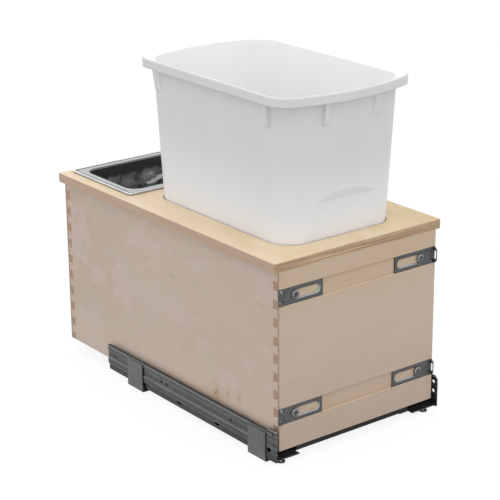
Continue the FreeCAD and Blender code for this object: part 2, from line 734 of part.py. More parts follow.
def rail_profile():
    """Lip, ribbed web, stepped foot, flange and inner hook of the right-hand rail."""
    step_x, step_z = RAIL_X - RAIL_STEP, RAIL_BOTTOM + RAIL_STEP_HEIGHT
    low_rib, high_rib = step_z + RAIL_RIB_RISE, RAIL_TOP - RAIL_RIB_DROP
    hook_top = RAIL_BOTTOM + HOOK_HEIGHT
    return [(RAIL_X - RAIL_LIP, RAIL_TOP, 0), (RAIL_X, RAIL_TOP, 1),
            (RAIL_X, high_rib + RAIL_RIB, 0), (RAIL_X - RAIL_RIB, high_rib, 0),
            (RAIL_X - RAIL_RIB, low_rib, 0), (RAIL_X, low_rib - RAIL_RIB, 0),
            (RAIL_X, step_z, 0), (step_x, step_z - RAIL_STEP, 0), (step_x, RAIL_BOTTOM, 1),
            (FLANGE_END, RAIL_BOTTOM, 1), (FLANGE_END, hook_top, 1),
            (FLANGE_END + HOOK_LIP, hook_top, 0)]


def rail_front_plate():
    """Front end of the web, with its raised and rounded tab, two holes and a window."""
    front, join = RAIL_FRONT, RAIL_FRONT + FRONT_PLATE
    tab_top = RAIL_TOP + FRONT_TAB_RISE
    slope_end = front + FRONT_TAB_LENGTH + FRONT_TAB_RISE
    points = [V(RAIL_X, y, z) for y, z in (
        (front, RAIL_BOTTOM), (front, tab_top), (front + FRONT_TAB_LENGTH, tab_top),
        (slope_end, RAIL_TOP), (join, RAIL_TOP), (join, RAIL_BOTTOM))]
    radii = [FRONT_TAB_EDGE, FRONT_TAB_CORNER, FRONT_TAB_EDGE, FRONT_TAB_EDGE, 0, 0]
    plate = prism(rounded(points, radii), V(-RAIL_SHEET, 0, 0))
    cuts = []
    for drop in FRONT_HOLE_DROPS:
        at = V(RAIL_X, front + FRONT_HOLE_SETBACK, tab_top - drop)
        cuts.append(rod(FRONT_HOLE_RADIUS, at, at - X * RAIL_SHEET))
    window_y, window_z = FRONT_WINDOW_PLACE
    cuts.append(block((RAIL_X - RAIL_SHEET, RAIL_X), span(window_y, FRONT_WINDOW[0]),
                      span(RAIL_BOTTOM + window_z, FRONT_WINDOW[1])))
    return cut_all(plate, cuts)


def cabinet_rail():
    """Right-hand fixed rail."""
    join = RAIL_FRONT + FRONT_PLATE
    rail = folded(rail_profile(), -RAIL_SHEET, RAIL_BEND, RAIL_REAR - join, join)
    flange = block((FLANGE_END, RAIL_X), (0, join), (RAIL_BOTTOM, FLANGE_TOP))
    hook_gap = block((FLANGE_END - RAIL_SHEET, FLANGE_END + HOOK_LIP + RAIL_SHEET),
                     (join, HOOK_START), (FLANGE_TOP, RAIL_BOTTOM + HOOK_HEIGHT + RAIL_SHEET))
    cuts = [hook_gap]
    for y in RAIL_SLOT_PLACES:
        centre = V(RAIL_X, y, RAIL_BOTTOM + RAIL_SLOT_HEIGHT)
        cuts.append(prism(stadium(centre, Y, Z, RAIL_SLOT), V(-2 * RAIL_STEP - RAIL_SHEET, 0, 0)))
    for y in WEB_HOLE_PLACES:
        at = V(RAIL_X, y, RAIL_BOTTOM + WEB_HOLE_HEIGHT)
        cuts.append(rod(WEB_HOLE_RADIUS, at, at - X * (RAIL_RIB + 2 * RAIL_SHEET)))
    cuts += [rod(RIVET_RADIUS + GLUE_GAP, *ends) for ends in foot_rivet_axes()]
    cuts.append(rod(RIVET_RADIUS + GLUE_GAP, *tie_rivet_axis()))
    return cut_all(rail.fuse([rail_front_plate(), flange]), cuts).removeSplitter()


def buffer():
    """Rubber buffer behind the right-hand middle rail."""
    front = MID_REAR + BUFFER_GAP
    pad = block(span(TRACK_X, 2 * MID_HEAD_HALF), (front, front + BUFFER_LENGTH),
                (FLANGE_TOP, FLANGE_TOP + BUFFER_HEIGHT))
    return fillet_at(pad, BUFFER_EDGE, FLANGE_TOP + BUFFER_HEIGHT)


# ---------------------------------------------------------------- moving rails


def middle_rail():
    """Right-hand middle rail: two feet, two legs and a wider head."""
    leg = MID_LEG_HALF - SLIDE_SHEET
    head = MID_HEAD_HALF - SLIDE_SHEET
    shoulder = MID_TOP - MID_HEAD_HEIGHT
    half = [(MID_FOOT_HALF, MID_BOTTOM, 0), (leg, MID_BOTTOM, 1), (leg, shoulder - MID_SHOULDER, 0),
            (head, shoulder, 0), (head, MID_TOP - SLIDE_SHEET, 1)]
    path = half + [(-x, z, bent) for x, z, bent in half[::-1]]
    path = [(TRACK_X + x, z, bent) for x, z, bent in path]
    return folded(path, -SLIDE_SHEET, SLIDE_BEND, MID_LENGTH, MID_FRONT)


def drawer_rail():
    """Right-hand drawer rail: a lipped channel over the middle rail, with its rear hook."""
    low, rear = FLOOR_UNDER - DRAWER_RAIL_DROP, BOX_DEPTH + GROOVE_GAP
    half = [(MID_LEG_HALF + LIP_CLEARANCE, low, 0), (DRAWER_RAIL_HALF, low, 1),
            (DRAWER_RAIL_HALF, FLOOR_UNDER, 1)]
    path = half + [(-x, z, bent) for x, z, bent in half[::-1]]
    path = [(TRACK_X + x, z, bent) for x, z, bent in path]
    rail = folded(path, SLIDE_SHEET, SLIDE_BEND, rear + SLIDE_SHEET - DRAWER_RAIL_FRONT, DRAWER_RAIL_FRONT)
    plate_x = span(TRACK_X, 2 * HOOK_PLATE_HALF)
    plate = block(plate_x, (rear, rear + SLIDE_SHEET),
                  (FLOOR_UNDER - SLIDE_SHEET, HOOK_PIN_Z + HOOK_PLATE_ABOVE_PIN))
    pin = rod(HOOK_PIN_RADIUS, V(TRACK_X, rear, HOOK_PIN_Z),
              V(TRACK_X, BOX_DEPTH - HOOK_PIN_LENGTH, HOOK_PIN_Z))
    return rail.fuse([plate, pin]).cut(tooth_window())


def roller_places(centre):
    """Y places of the rollers in a cage."""
    first = centre - ROLLER_PITCH * (ROLLERS_A_CAGE - 1) / 2
    return [first + ROLLER_PITCH * index for index in range(ROLLERS_A_CAGE)]


def cage_size(level):
    """Centre, half width, axis height and roller diameter of a level's cage."""
    if level == "lower":
        return LOWER_CAGE_CENTRE, MID_FOOT_HALF - CAGE_SIDE_GAP, LOWER_AXIS, LOWER_ROLLER
    return UPPER_CAGE_CENTRE, DRAWER_RAIL_HALF - SLIDE_SHEET - 2 * CAGE_SIDE_GAP, UPPER_AXIS, UPPER_ROLLER


def cage(level):
    """Flat plastic cage with a window for each roller."""
    centre, half, height, diameter = cage_size(level)
    plate = block(span(TRACK_X, 2 * half), span(centre, CAGE_LENGTH), span(height, CAGE_SHEET))
    length = 2 * (half - ROLLER_END_MARGIN) + 2 * RUN_CLEARANCE
    windows = [block(span(TRACK_X, length), span(y, diameter + 2 * RUN_CLEARANCE), span(height, CAGE_SHEET))
               for y in roller_places(centre)]
    return cut_all(plate, windows)


def rollers(level):
    """Steel rollers of one cage, across the track."""
    centre, half, height, diameter = cage_size(level)
    reach = half - ROLLER_END_MARGIN
    return [rod(diameter / 2, V(TRACK_X - reach, y, height), V(TRACK_X + reach, y, height))
            for y in roller_places(centre)]


# ---------------------------------------------------------------- floor brackets and tie bar


def floor_bracket(place):
    """Right-hand floor bracket: upright against the rail, foot under it."""
    outer, middle = RAIL_X + FOOT_SHEET, FOOT_PLACES[place]
    start = middle - FOOT_WIDTH / 2
    inner = outer - FOOT_REACH
    path = [(outer, RAIL_TOP - FOOT_BELOW_RAIL_TOP, 0), (outer, 0, 1), (inner, 0, 0)]
    bracket = folded(path, -FOOT_SHEET, FOOT_BEND, FOOT_WIDTH, start)
    if place == "front":
        centre = V(RAIL_X - TONGUE_FROM_EDGE, (TONGUE_TIP + middle) / 2, 0)
        tongue = stadium(centre, Y, X, (middle - TONGUE_TIP, TONGUE_WIDTH))
        bracket = bracket.fuse(prism(tongue, V(0, 0, FOOT_SHEET)))
        hole = V(centre.x, TONGUE_TIP + TONGUE_WIDTH / 2, 0)
        bracket = bracket.cut(rod(TONGUE_HOLE_RADIUS, hole, hole + Z * FOOT_SHEET))
    for y in span(middle, FOOT_HOLE_SPACING):
        hole = V(inner + FOOT_HOLE_INSET, y, 0)
        bracket = bracket.cut(rod(FOOT_HOLE_RADIUS, hole, hole + Z * FOOT_SHEET))
    for ends in foot_rivet_axes():
        bracket = bracket.cut(rod(RIVET_RADIUS + GLUE_GAP, *ends))
    return bracket


def foot_rivet_axes():
    """Start and end of each rivet's shank between the right rail and its floor brackets."""
    return [(V(RAIL_X - RAIL_SHEET, y, RIVET_HEIGHT), V(RAIL_X + FOOT_SHEET, y, RIVET_HEIGHT))
            for middle in FOOT_PLACES.values() for y in span(middle, RIVET_SPACING)]


def foot_rivets():
    """Rivets of the floor brackets on the right, headed inside and flush outside."""
    found = []
    for start, end in foot_rivet_axes():
        head = rod(RIVET_HEAD[0], start - X * RIVET_HEAD[1], start)
        found.append(head.fuse(rod(RIVET_RADIUS, start, end)))
    return found


def tie_bar():
    """Bar across the front that ties the two fixed rails, with an upstand between them."""
    half = RAIL_X - RAIL_SHEET - TIE_END_GAP
    leg_half = FLANGE_END - TIE_LEG_MARGIN
    plate = block((-half, half), (TIE_FRONT, TIE_FRONT + TIE_DEPTH), (FLANGE_TOP, FLANGE_TOP + TIE_SHEET))
    leg = block((-leg_half, leg_half), (TIE_FRONT, TIE_FRONT + TIE_SHEET),
                (FLANGE_TOP, FLANGE_TOP + TIE_SHEET + TIE_LEG))
    holes = [on_side(rod(RIVET_RADIUS + GLUE_GAP, *tie_rivet_axis()), sign) for sign in SIDES.values()]
    return cut_all(plate.fuse(leg), holes)


def tie_rivet_axis():
    """Start and end of the right-hand tie bar rivet's shank."""
    x, y = RAIL_X - TIE_RIVET_INSET, TIE_FRONT + TIE_DEPTH / 2
    return V(x, y, RAIL_BOTTOM), V(x, y, FLANGE_TOP + TIE_SHEET)


def tie_rivet():
    """Right-hand rivet of the tie bar, headed above and below."""
    low, high = tie_rivet_axis()
    upper = rod(RIVET_HEAD[0], high, high + Z * RIVET_HEAD[1])
    lower = rod(RIVET_HEAD[0], low - Z * RIVET_HEAD[1], low)
    return rod(RIVET_RADIUS, low, high).fuse([upper, lower])


# ---------------------------------------------------------------- lock clips and levers


def tooth_reach():
    """X of the right-hand tooth's tip, level with the inside of the drawer rail's leg."""
    return CLIP_X + CLIP_GAP + SLIDE_SHEET


def tooth():
    """Tooth of the right-hand lever, its rear flank leaning so that it swings clear."""
    front, rear = span(LEVER_PIVOT_Y + TOOTH_SETBACK, TOOTH_WIDTH)
    points = [V(LEVER_X, front, LEVER_BOTTOM), V(tooth_reach(), front, LEVER_BOTTOM),
              V(tooth_reach(), rear - TOOTH_LEAN, LEVER_BOTTOM), V(LEVER_X, rear, LEVER_BOTTOM)]
    return prism(rounded(points, [0] * len(points)), V(0, 0, LEVER_TOP - LEVER_BOTTOM))


def tooth_window():
    """Space that the tooth passes through, in the clip's wall and the rail's leg."""
    return block((LEVER_X, tooth_reach() + TOOTH_GAP),
                 span(LEVER_PIVOT_Y + TOOTH_SETBACK, TOOTH_WIDTH + 2 * TOOTH_GAP),
                 (LEVER_BOTTOM - TOOTH_GAP, LEVER_TOP + TOOTH_GAP))


def clip_screw_holes():
    """Blind holes of the right-hand clip's screws in the floor panel."""
    radius, length = CLIP_SCREW_SHANK
    return [rod(radius + GLUE_GAP, seat, seat + Z * length) for seat in clip_screw_seats()]


def clip_screw_seats():
    """Where the right-hand clip's screw heads seat, inside their counterbores."""
    x, y = CLIP_X - CLIP_WIDTH / 2, END_THICKNESS + CLIP_HEAD / 2
    return [V(place, y, CLIP_BOTTOM + CLIP_SCREW_HEAD[1]) for place in span(x, CLIP_SCREW_SPACING)]


def lock_clip():
    """Right-hand lock clip: a C-shaped housing, open inwards and to the rear."""
    y = (END_THICKNESS, END_THICKNESS + CLIP_LENGTH)
    clip = block((CLIP_X - CLIP_WIDTH, CLIP_X), y, (CLIP_BOTTOM, FLOOR_UNDER))
    pocket = block((CLIP_X - CLIP_WIDTH, CLIP_X - CLIP_WALL), (END_THICKNESS + CLIP_HEAD, y[1]),
                   (CLIP_BOTTOM + CLIP_PLATE, FLOOR_UNDER - CLIP_PLATE))
    cuts = [pocket, tooth_window(), pivot_pin()] + clip_screw_holes()
    for seat in clip_screw_seats():
        cuts.append(rod(CLIP_SCREW_HEAD[0] + GLUE_GAP, seat - Z * CLIP_SCREW_HEAD[1], seat))
    return cut_all(clip, cuts)


def pivot_pin():
    """Pin of the right-hand lever, through both plates of the clip."""
    low = V(LEVER_X, LEVER_PIVOT_Y, CLIP_BOTTOM)
    return rod(LEVER_PIVOT_RADIUS, low, low + Z * (FLOOR_UNDER - CLIP_BOTTOM))


def release_lever():
    """Right-hand release lever: eye, arm, tooth and finger pad."""
    low = V(LEVER_X, LEVER_PIVOT_Y, LEVER_BOTTOM)
    tall = LEVER_TOP - LEVER_BOTTOM
    eye = rod(LEVER_EYE, low, low + Z * tall)
    end = LEVER_PIVOT_Y + LEVER_REACH
    arm = block(span(LEVER_X, LEVER_ARM), (LEVER_PIVOT_Y, end), (LEVER_BOTTOM, LEVER_TOP))
    width, length = LEVER_PAD
    outline = rectangle(width / 2, length / 2, LEVER_PAD_CORNER, V(LEVER_X, end, LEVER_BOTTOM))
    pad = prism(outline, V(0, 0, tall))
    bore = rod(LEVER_PIVOT_RADIUS + LEVER_BORE_GAP, low, low + Z * tall)
    return eye.fuse([arm, pad, tooth()]).cut(bore)


def clip_screws():
    """Screws of the right-hand clip, into the floor panel."""
    found = []
    for seat in clip_screw_seats():
        radius, height = CLIP_SCREW_HEAD
        head = rod(radius, seat - Z * height, seat)
        found.append(head.fuse(rod(CLIP_SCREW_SHANK[0], seat, seat + Z * CLIP_SCREW_SHANK[1])))
    return found


# ---------------------------------------------------------------- assembly


def both(shapes):
    """Right-hand shapes together with their left-hand mirrors."""
    return Part.makeCompound([on_side(shape, sign) for sign in SIDES.values() for shape in shapes])


def handed():
    """Pieces that come as a left and a right: name before the side, and right-hand shape."""
    pieces = {
        "side_panel": side_panel(),
        "cabinet_rail": cabinet_rail(),
        "rail_buffer": buffer(),
        "middle_rail": middle_rail(),
        "drawer_rail": drawer_rail(),
        "lock_clip": lock_clip(),
        "release_lever": release_lever(),
    }
    for level in ("lower", "upper"):
        pieces["roller_cage_" + level] = cage(level)
        pieces["rollers_" + level] = Part.makeCompound(rollers(level))
    for place in FOOT_PLACES:
        pieces["floor_bracket_" + place] = floor_bracket(place)
    for name, height in dado_heights().items():
        pieces["door_bracket_" + name] = door_bracket(height)
    return pieces


def nodes():
    """Every node's name and shape, in the working axes."""
    pieces = handed()
    side = pieces["side_panel"]
    named = {
        "front_panel": front_panel(side),
        "back_panel": back_panel(side),
        "floor_panel": floor_panel(),
        "platform": platform(),
        "platform_dowels": both(dowels(0)),
        "waste_bin": waste_bin(),
        "food_pan": food_pan(),
        "door_bracket_screws": Part.makeCompound(door_screws()),
        "floor_bracket_rivets": both(foot_rivets()),
        "tie_bar": tie_bar(),
        "tie_bar_rivets": both([tie_rivet()]),
        "lever_pins": both([pivot_pin()]),
        "clip_screws": both(clip_screws()),
    }
    for name, shape in pieces.items():
        for side_name, sign in SIDES.items():
            named[name + "_" + side_name] = on_side(shape, sign)
    return named


def main():
    """Writes each node as a STEP file, with the origin under the middle of the whole unit."""
    os.makedirs("parts", exist_ok=True)
    for name, shape in nodes().items():
        placed = shape.copy()
        placed.translate(V(0, -CENTRE_Y, 0))
        placed.exportStep("parts/" + name + ".step")


if __name__ == "__main__":
    main()
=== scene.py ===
"""Finishes, fastenings, stage and camera for the pull-out waste unit."""

import math

import bmesh
import bpy
from bpy.props import FloatProperty, FloatVectorProperty, IntProperty, PointerProperty
from mathutils import Matrix, Vector


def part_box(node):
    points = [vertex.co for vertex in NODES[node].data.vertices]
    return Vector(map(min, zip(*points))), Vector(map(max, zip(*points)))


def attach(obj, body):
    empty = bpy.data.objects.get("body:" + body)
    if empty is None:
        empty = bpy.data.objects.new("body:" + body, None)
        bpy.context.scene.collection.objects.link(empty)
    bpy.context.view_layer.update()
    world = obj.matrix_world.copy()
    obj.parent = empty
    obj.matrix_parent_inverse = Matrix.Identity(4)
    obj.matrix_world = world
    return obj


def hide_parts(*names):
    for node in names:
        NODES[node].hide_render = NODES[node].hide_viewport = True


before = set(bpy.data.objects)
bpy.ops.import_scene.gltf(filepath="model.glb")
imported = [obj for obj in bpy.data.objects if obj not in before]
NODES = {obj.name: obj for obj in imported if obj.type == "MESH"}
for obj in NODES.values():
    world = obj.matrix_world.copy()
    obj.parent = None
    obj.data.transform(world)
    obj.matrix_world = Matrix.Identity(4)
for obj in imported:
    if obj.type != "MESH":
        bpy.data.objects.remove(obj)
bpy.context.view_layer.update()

bl_info = {
    "name": "Pull-out Waste Unit",
    "version": (1, 0, 0),
    "blender": (4, 5, 0),
    "location": "3D View > Sidebar > Waste Unit",
    "description": "Wood, metal and plastic finishes, screws and stage for a pull-out waste unit",
    "category": "Object",
}

MM = 0.001
SCENE = bpy.context.scene


# ---------------- sizes and colours


def colour_prop(name, description, default):
    """Colour setting shown with a swatch."""
    return FloatVectorProperty(name=name, description=description, default=default,
                               size=3, subtype="COLOR", min=0.0, max=1.0)


def length_prop(name, description, default):
    """Length setting in metres."""
    return FloatProperty(name=name, description=description, default=default,
                         min=0.0, unit="LENGTH", subtype="DISTANCE", precision=5)


def place_prop(name, description, default):
    """Point in metres."""
    return FloatVectorProperty(name=name, description=description, default=default,
                               size=3, unit="LENGTH", subtype="TRANSLATION", precision=5)


class WoodLook(bpy.types.PropertyGroup):
    """Colours and figure of the maple box and its plywood."""

    face: colour_prop("Face", "Lacquered maple along the grain", (0.512, 0.413, 0.341))
    face_warm: colour_prop("Warm streaks", "Yellower wood between the pale patches",
                           (0.517, 0.396, 0.298))
    end_grain: colour_prop("End grain", "Cut fibres at the joints", (0.335, 0.222, 0.160))
    top: colour_prop("Top veneer", "Lacquered face of the platform", (0.757, 0.606, 0.410))
    top_aged: colour_prop("Aged veneer", "Tint of the plywood's right half",
                          (0.880, 0.850, 0.725))
    ply_light: colour_prop("Pale plies", "Plies cut along the grain", (0.600, 0.432, 0.275))
    ply_dark: colour_prop("Dark plies", "Plies cut across the grain", (0.310, 0.187, 0.100))
    ply_side: colour_prop("Side plies", "Tint of the plywood's left and right edges",
                          (0.840, 0.850, 0.960))
    knot: colour_prop("Knots", "Small pin knots", (0.200, 0.130, 0.090))
    blush: colour_prop("Blush", "Cool pink clouds in the maple", (0.545, 0.430, 0.385))
    amber: colour_prop("Amber", "Yellow-brown mineral marks", (0.400, 0.250, 0.125))
    fibre: length_prop("Fibre width", "Width of the finest streaks", 1.2 * MM)
    plies: IntProperty(name="Plies", description="Layers in the plywood", default=7, min=3)


class MetalLook(bpy.types.PropertyGroup):
    """Colours of the sheet metal, screws and pan."""

    zinc: colour_prop("Zinc", "Plated sheet of the slides and brackets", (0.106, 0.108, 0.111))
    screw: colour_prop("Screws", "Plated screws, pins and rivets", (0.085, 0.085, 0.087))
    # Black is also the tone of painted shade: in seams, on edges that turn down, in the rails'
    # dark bands and on the pan's shadow line by its bead.
    black: colour_prop("Black", "Black tie bar, and the dark of seams and grooves",
                       (0.012, 0.012, 0.013))
    pan: colour_prop("Pan", "Drawn stainless steel", (0.455, 0.467, 0.483))
    # This colour is the bright metal of the rollers and the pan's bead, and the tone of painted
    # highlights on upper edges, dished slots and the rails' bands.
    bright_and_highlight: colour_prop("Worn edges", "Bright metal on edges, rollers and the pan's bead",
                      (0.560, 0.565, 0.580))
    scuff: colour_prop("Scuffs", "Dull scratches on plated sheet", (0.420, 0.420, 0.420))
    spangle: length_prop("Spangle", "Size of the zinc's crystals", 6.0 * MM)


class PlasticLook(bpy.types.PropertyGroup):
    """Colours of the moulded parts and of the dust on them."""

    # Outside and inside are one white plastic; the inside is painted lighter than the outside.
    bin_outside: colour_prop("Bin outside", "White polypropylene, outer side",
                             (0.650, 0.653, 0.656))
    # Painted bounce light on the bin's outside near the platform.
    bin_foot_light: colour_prop("Bin foot", "Outside of the bin near the platform",
                          (0.790, 0.812, 0.845))
    bin_rim: colour_prop("Bin rim", "Turned-down skirt of the rim", (0.640, 0.641, 0.642))
    bin_inside: colour_prop("Bin inside", "White polypropylene, inner side",
                            (0.975, 0.975, 0.975))
    clip: colour_prop("Clips", "Dark nylon of the lock clips", (0.020, 0.020, 0.021))
    lever: colour_prop("Levers", "Orange nylon of the release levers", (0.800, 0.210, 0.030))
    cage: colour_prop("Cages", "Natural acetal of the roller cages", (0.620, 0.600, 0.540))
    rubber: colour_prop("Buffers", "Black rubber", (0.025, 0.025, 0.026))
    dust: colour_prop("Dust", "Faint dust on upper faces", (0.620, 0.600, 0.560))


class EdgesAndShadeLook(bpy.types.PropertyGroup):
    """Widths of the softened edges, and of the painted shade lines in the seams."""

    wood_edge: length_prop("Board edges", "Radius of the boards' edges", 0.9 * MM)
    fine_edge: length_prop("Fine edges", "Radius on plywood and small mouldings", 0.8 * MM)
    metal_edge: length_prop("Metal edges", "Radius of the metal's edges", 0.6 * MM)
    bin_edge: length_prop("Bin edges", "Radius of the bin's edges", 1.6 * MM)
    fine_line: length_prop("Fine lines", "Reach on the boards and the pan", 3.0 * MM)
    metal_line: length_prop("Metal seams", "Reach on the sheet metal", 5.0 * MM)
    ply_line: length_prop("Plywood joints", "Reach on the plywood", 6.0 * MM)


class ScrewSizes(bpy.types.PropertyGroup):
    """Screws of the door brackets and lock clips, and the cross drives in their heads."""

    door_head: length_prop("Door head", "Radius of a door screw's head", 6.3 * MM)
    door_height: length_prop("Door height", "Height of that head", 2.6 * MM)
    door_shank: length_prop("Door shank", "Radius of a door screw's shank", 2.2 * MM)
    clip_head: length_prop("Clip head", "Radius of a clip screw's head", 3.2 * MM)
    clip_height: length_prop("Clip height", "Height of that head", 2.0 * MM)
    clip_shank: length_prop("Clip shank", "Radius of a clip screw's shank", 1.8 * MM)
    clip_gap: length_prop("Clip gap", "Distance between a clip's two screws", 12.0 * MM)
    arm: length_prop("Arm", "Reach of a door screw's drive", 2.9 * MM)
    slot: length_prop("Slot", "Half the width of the drive's arm", 1.1 * MM)
    depth: length_prop("Depth", "Depth of the drive", 1.6 * MM)


class PanSizes(bpy.types.PropertyGroup):
    """Rolled bead round the food pan's flange."""

    bead: length_prop("Bead", "Radius of the rolled bead", 1.4 * MM)
    bead_sink: length_prop("Sink", "How far the bead's middle lies below the flange", 0.4 * MM)
    bead_corner: length_prop("Corner", "Radius of the bead's corners", 5.4 * MM)


class StageLook(bpy.types.PropertyGroup):
    """Floor, light and camera."""

    floor: colour_prop("Floor", "Plain pale floor", (0.650, 0.650, 0.650))
    floor_reach: length_prop("Floor reach", "How far the floor goes each way", 6.0)
    glow: FloatProperty(name="Glow", description="Share of the floor's white that shadow keeps",
                        default=0.80, min=0.0, max=1.0, subtype="FACTOR")
    white: FloatProperty(name="White", description="Strength of the floor's white",
                         default=1.1, min=0.0)
    sky: FloatProperty(name="Sky", description="Strength of the even light", default=0.97,
                       min=0.0)
    key: FloatProperty(name="Key", description="Strength of the soft overhead light",
                       default=0.66, min=0.0)
    key_way: FloatVectorProperty(name="Key direction", description="Where that light shines",
                                 default=(0.20, 0.24, -1.0), size=3, subtype="XYZ")
    spread: FloatProperty(name="Spread", description="How wide the overhead light looks",
                          default=math.radians(50.0), subtype="ANGLE")
    lens: FloatProperty(name="Lens", description="Focal length in millimetres", default=123.26,
                        min=1.0, unit="CAMERA")
    roll: FloatProperty(name="Roll", description="Camera's tilt about its own axis",
                        default=math.radians(-0.44), subtype="ANGLE")
    place: place_prop("Place", "Where the camera stands", (-1.46821, -1.92228, 1.06325))
    target: place_prop("Target", "What the camera looks at", (-0.17176, -0.24087, 0.31370))


# Left panel's knots: tone; millimetres along Y, height, half length, half height; strength.
LEFT_KNOTS = (
    ("blush", 34.0, 135.5, 7.0, 9.0, 0.60), ("blush", -28.0, 138.5, 11.0, 11.0, 0.55),
    ("amber", 64.0, 134.5, 2.0, 4.5, 0.60), ("amber", 57.5, 132.0, 1.8, 4.0, 0.45),
    ("knot", -35.0, 135.0, 3.0, 4.0, 0.30), ("knot", -74.0, 209.0, 7.0, 2.4, 0.35),
    ("knot", -18.0, 206.0, 8.5, 2.4, 0.38), ("knot", -226.0, 224.0, 11.0, 1.8, 0.45),
    ("amber", -122.5, 58.5, 12.0, 13.0, 0.95), ("amber", -150.0, 65.0, 5.6, 7.6, 1.0),
    ("blush", -152.5, 64.0, 2.8, 5.0, 1.0), ("amber", -175.0, 69.0, 5.6, 7.6, 1.0),
    ("blush", -177.5, 68.0, 2.8, 5.0, 1.0),
)

# Pan's bright streaks of painted highlight: millimetres across, below the rim, half width, half
# height; strength.
PAN_HIGHLIGHTS = (
    (-67.0, 24.3, 20.0, 4.0, 0.25), (-31.0, 32.8, 18.0, 6.0, 0.35),
    (7.0, 28.3, 14.0, 6.0, 0.80), (4.0, 40.8, 6.0, 1.4, 7.0),
    (14.0, 37.8, 6.5, 1.5, 7.0), (24.0, 34.3, 6.0, 1.5, 7.0),
)

# Painted bands of shade and highlight on the cabinet rails: millimetres from the foot or the top,
# half width; tone, share.
BANDS_FROM_FOOT = (
    (5.5, 6.3, "black", 0.62), (12.2, 0.7, "bright_and_highlight", 0.10), (15.5, 2.6, "black", 0.25),
    (21.0, 1.6, "bright_and_highlight", 0.05), (21.0, 0.8, "bright_and_highlight", 0.07), (26.5, 3.4, "black", 0.20),
    (31.5, 1.5, "bright_and_highlight", 0.07),
)
BANDS_FROM_TOP = (
    (0.3, 0.8, "black", 0.70), (2.4, 1.3, "bright_and_highlight", 0.30), (5.4, 1.8, "black", 0.75),
    (8.4, 1.2, "bright_and_highlight", 0.20),
)


# ---------------- node trees


class Net:
    """Short calls that fill a node tree."""

    def __init__(self, tree):
        self.tree = tree
        tree.nodes.clear()

    def add(self, kind, feeds=None, **settings):
        """Adds a node; feeds maps a socket's name or number to a link or a constant."""
        node = self.tree.nodes.new(kind)
        for name, value in settings.items():
            setattr(node, name, value)
        for name, value in (feeds or {}).items():
            self.feed(node.inputs[name], value)
        return node

    def feed(self, socket, value):
        """Links a socket or gives it a constant."""
        if isinstance(value, bpy.types.NodeSocket):
            self.tree.links.new(value, socket)
        elif socket.type == "RGBA" and len(value) == 3:
            socket.default_value = (*value, 1.0)
        else:
            socket.default_value = value

    def maths(self, operation, a, b=0.0, clamp=False):
        """Math node's result."""
        return self.add("ShaderNodeMath", {0: a, 1: b}, operation=operation,
                        use_clamp=clamp).outputs[0]

    def plus(self, a, b):
        """Sum."""
        return self.maths("ADD", a, b)

    def minus(self, a, b):
        """Difference."""
        return self.maths("SUBTRACT", a, b)

    def times(self, a, b):
        """Product."""
        return self.maths("MULTIPLY", a, b)

    def swing(self, value, reach):
        """Value from 0 to 1 turned into one that swings about zero."""
        return self.times(self.minus(value, 0.5), reach)

    def vector(self, operation, a, b=(0.0, 0.0, 0.0)):
        """Vector Math node's result."""
        node = self.add("ShaderNodeVectorMath", {0: a, 1: b}, operation=operation)
        return node.outputs["Value" if operation in {"LENGTH", "DOT_PRODUCT"} else "Vector"]

    def mix(self, share, low, high, blend="MIX"):
        """Colour between two."""
        return self.add("ShaderNodeMix", {0: share, 6: low, 7: high}, data_type="RGBA",
                        blend_type=blend).outputs[2]

    def toward(self, colour, tone, mask, share):
        """Colour moved toward a tone by a share of a mask."""
        return self.mix(self.times(mask, share), colour, tone)

    def tinted(self, colour, tint):
        """Colour multiplied by another."""
        return self.mix(1.0, colour, tint, "MULTIPLY")

    def gained(self, colour, gain):
        """Colour made lighter or darker by a value."""
        return self.tinted(colour, self.joined(gain, gain, gain))

    def between(self, value, low, high, to_low=0.0, to_high=1.0, smooth=True):
        """Value moved from one range to another and held inside it."""
        node = self.add("ShaderNodeMapRange",
                        {0: value, 1: low, 2: high, 3: to_low, 4: to_high}, clamp=True)
        node.interpolation_type = "SMOOTHSTEP" if smooth else "LINEAR"
        return node.outputs[0]

    def noise(self, vector, scale, detail=2.0, roughness=0.5, stretch=None, distortion=0.0):
        """Noise value; stretch scales the axes first."""
        if stretch:
            vector = self.vector("MULTIPLY", vector, stretch)
        return self.add("ShaderNodeTexNoise",
                        {"Vector": vector, "Scale": scale, "Detail": detail,
                         "Roughness": roughness, "Distortion": distortion}).outputs[0]

    def axes(self, vector):
        """The three parts of a vector."""
        return self.add("ShaderNodeSeparateXYZ", {0: vector}).outputs

    def joined(self, x, y, z):
        """Vector from three parts."""
        return self.add("ShaderNodeCombineXYZ", {0: x, 1: y, 2: z}).outputs[0]


VECTORS = {"Vector", "Place", "Spread", "Normal"}
COLOURS = {"Color", "Base", "Scuff", "Pale", "Warm", "Light", "Dark"}


def shared_group(name, inputs, outputs):
    """Turns a function that fills a net into one that adds its group to a material."""

    def wrap(fill):
        def build():
            tree = bpy.data.node_groups.new(name, "ShaderNodeTree")
            for labels, way in ((inputs, "INPUT"), (outputs, "OUTPUT")):
                for label in labels:
                    kind = ("NodeSocketVector" if label in VECTORS else
                            "NodeSocketColor" if label in COLOURS else "NodeSocketFloat")
                    tree.interface.new_socket(label, in_out=way, socket_type=kind)
            net = Net(tree)
            net.add("NodeGroupOutput", fill(net, net.add("NodeGroupInput").outputs))
            return tree

        def use(net, **feeds):
            tree = bpy.data.node_groups.get(name) or build()
            return net.add("ShaderNodeGroup", feeds, node_tree=tree).outputs

        return use

    return wrap


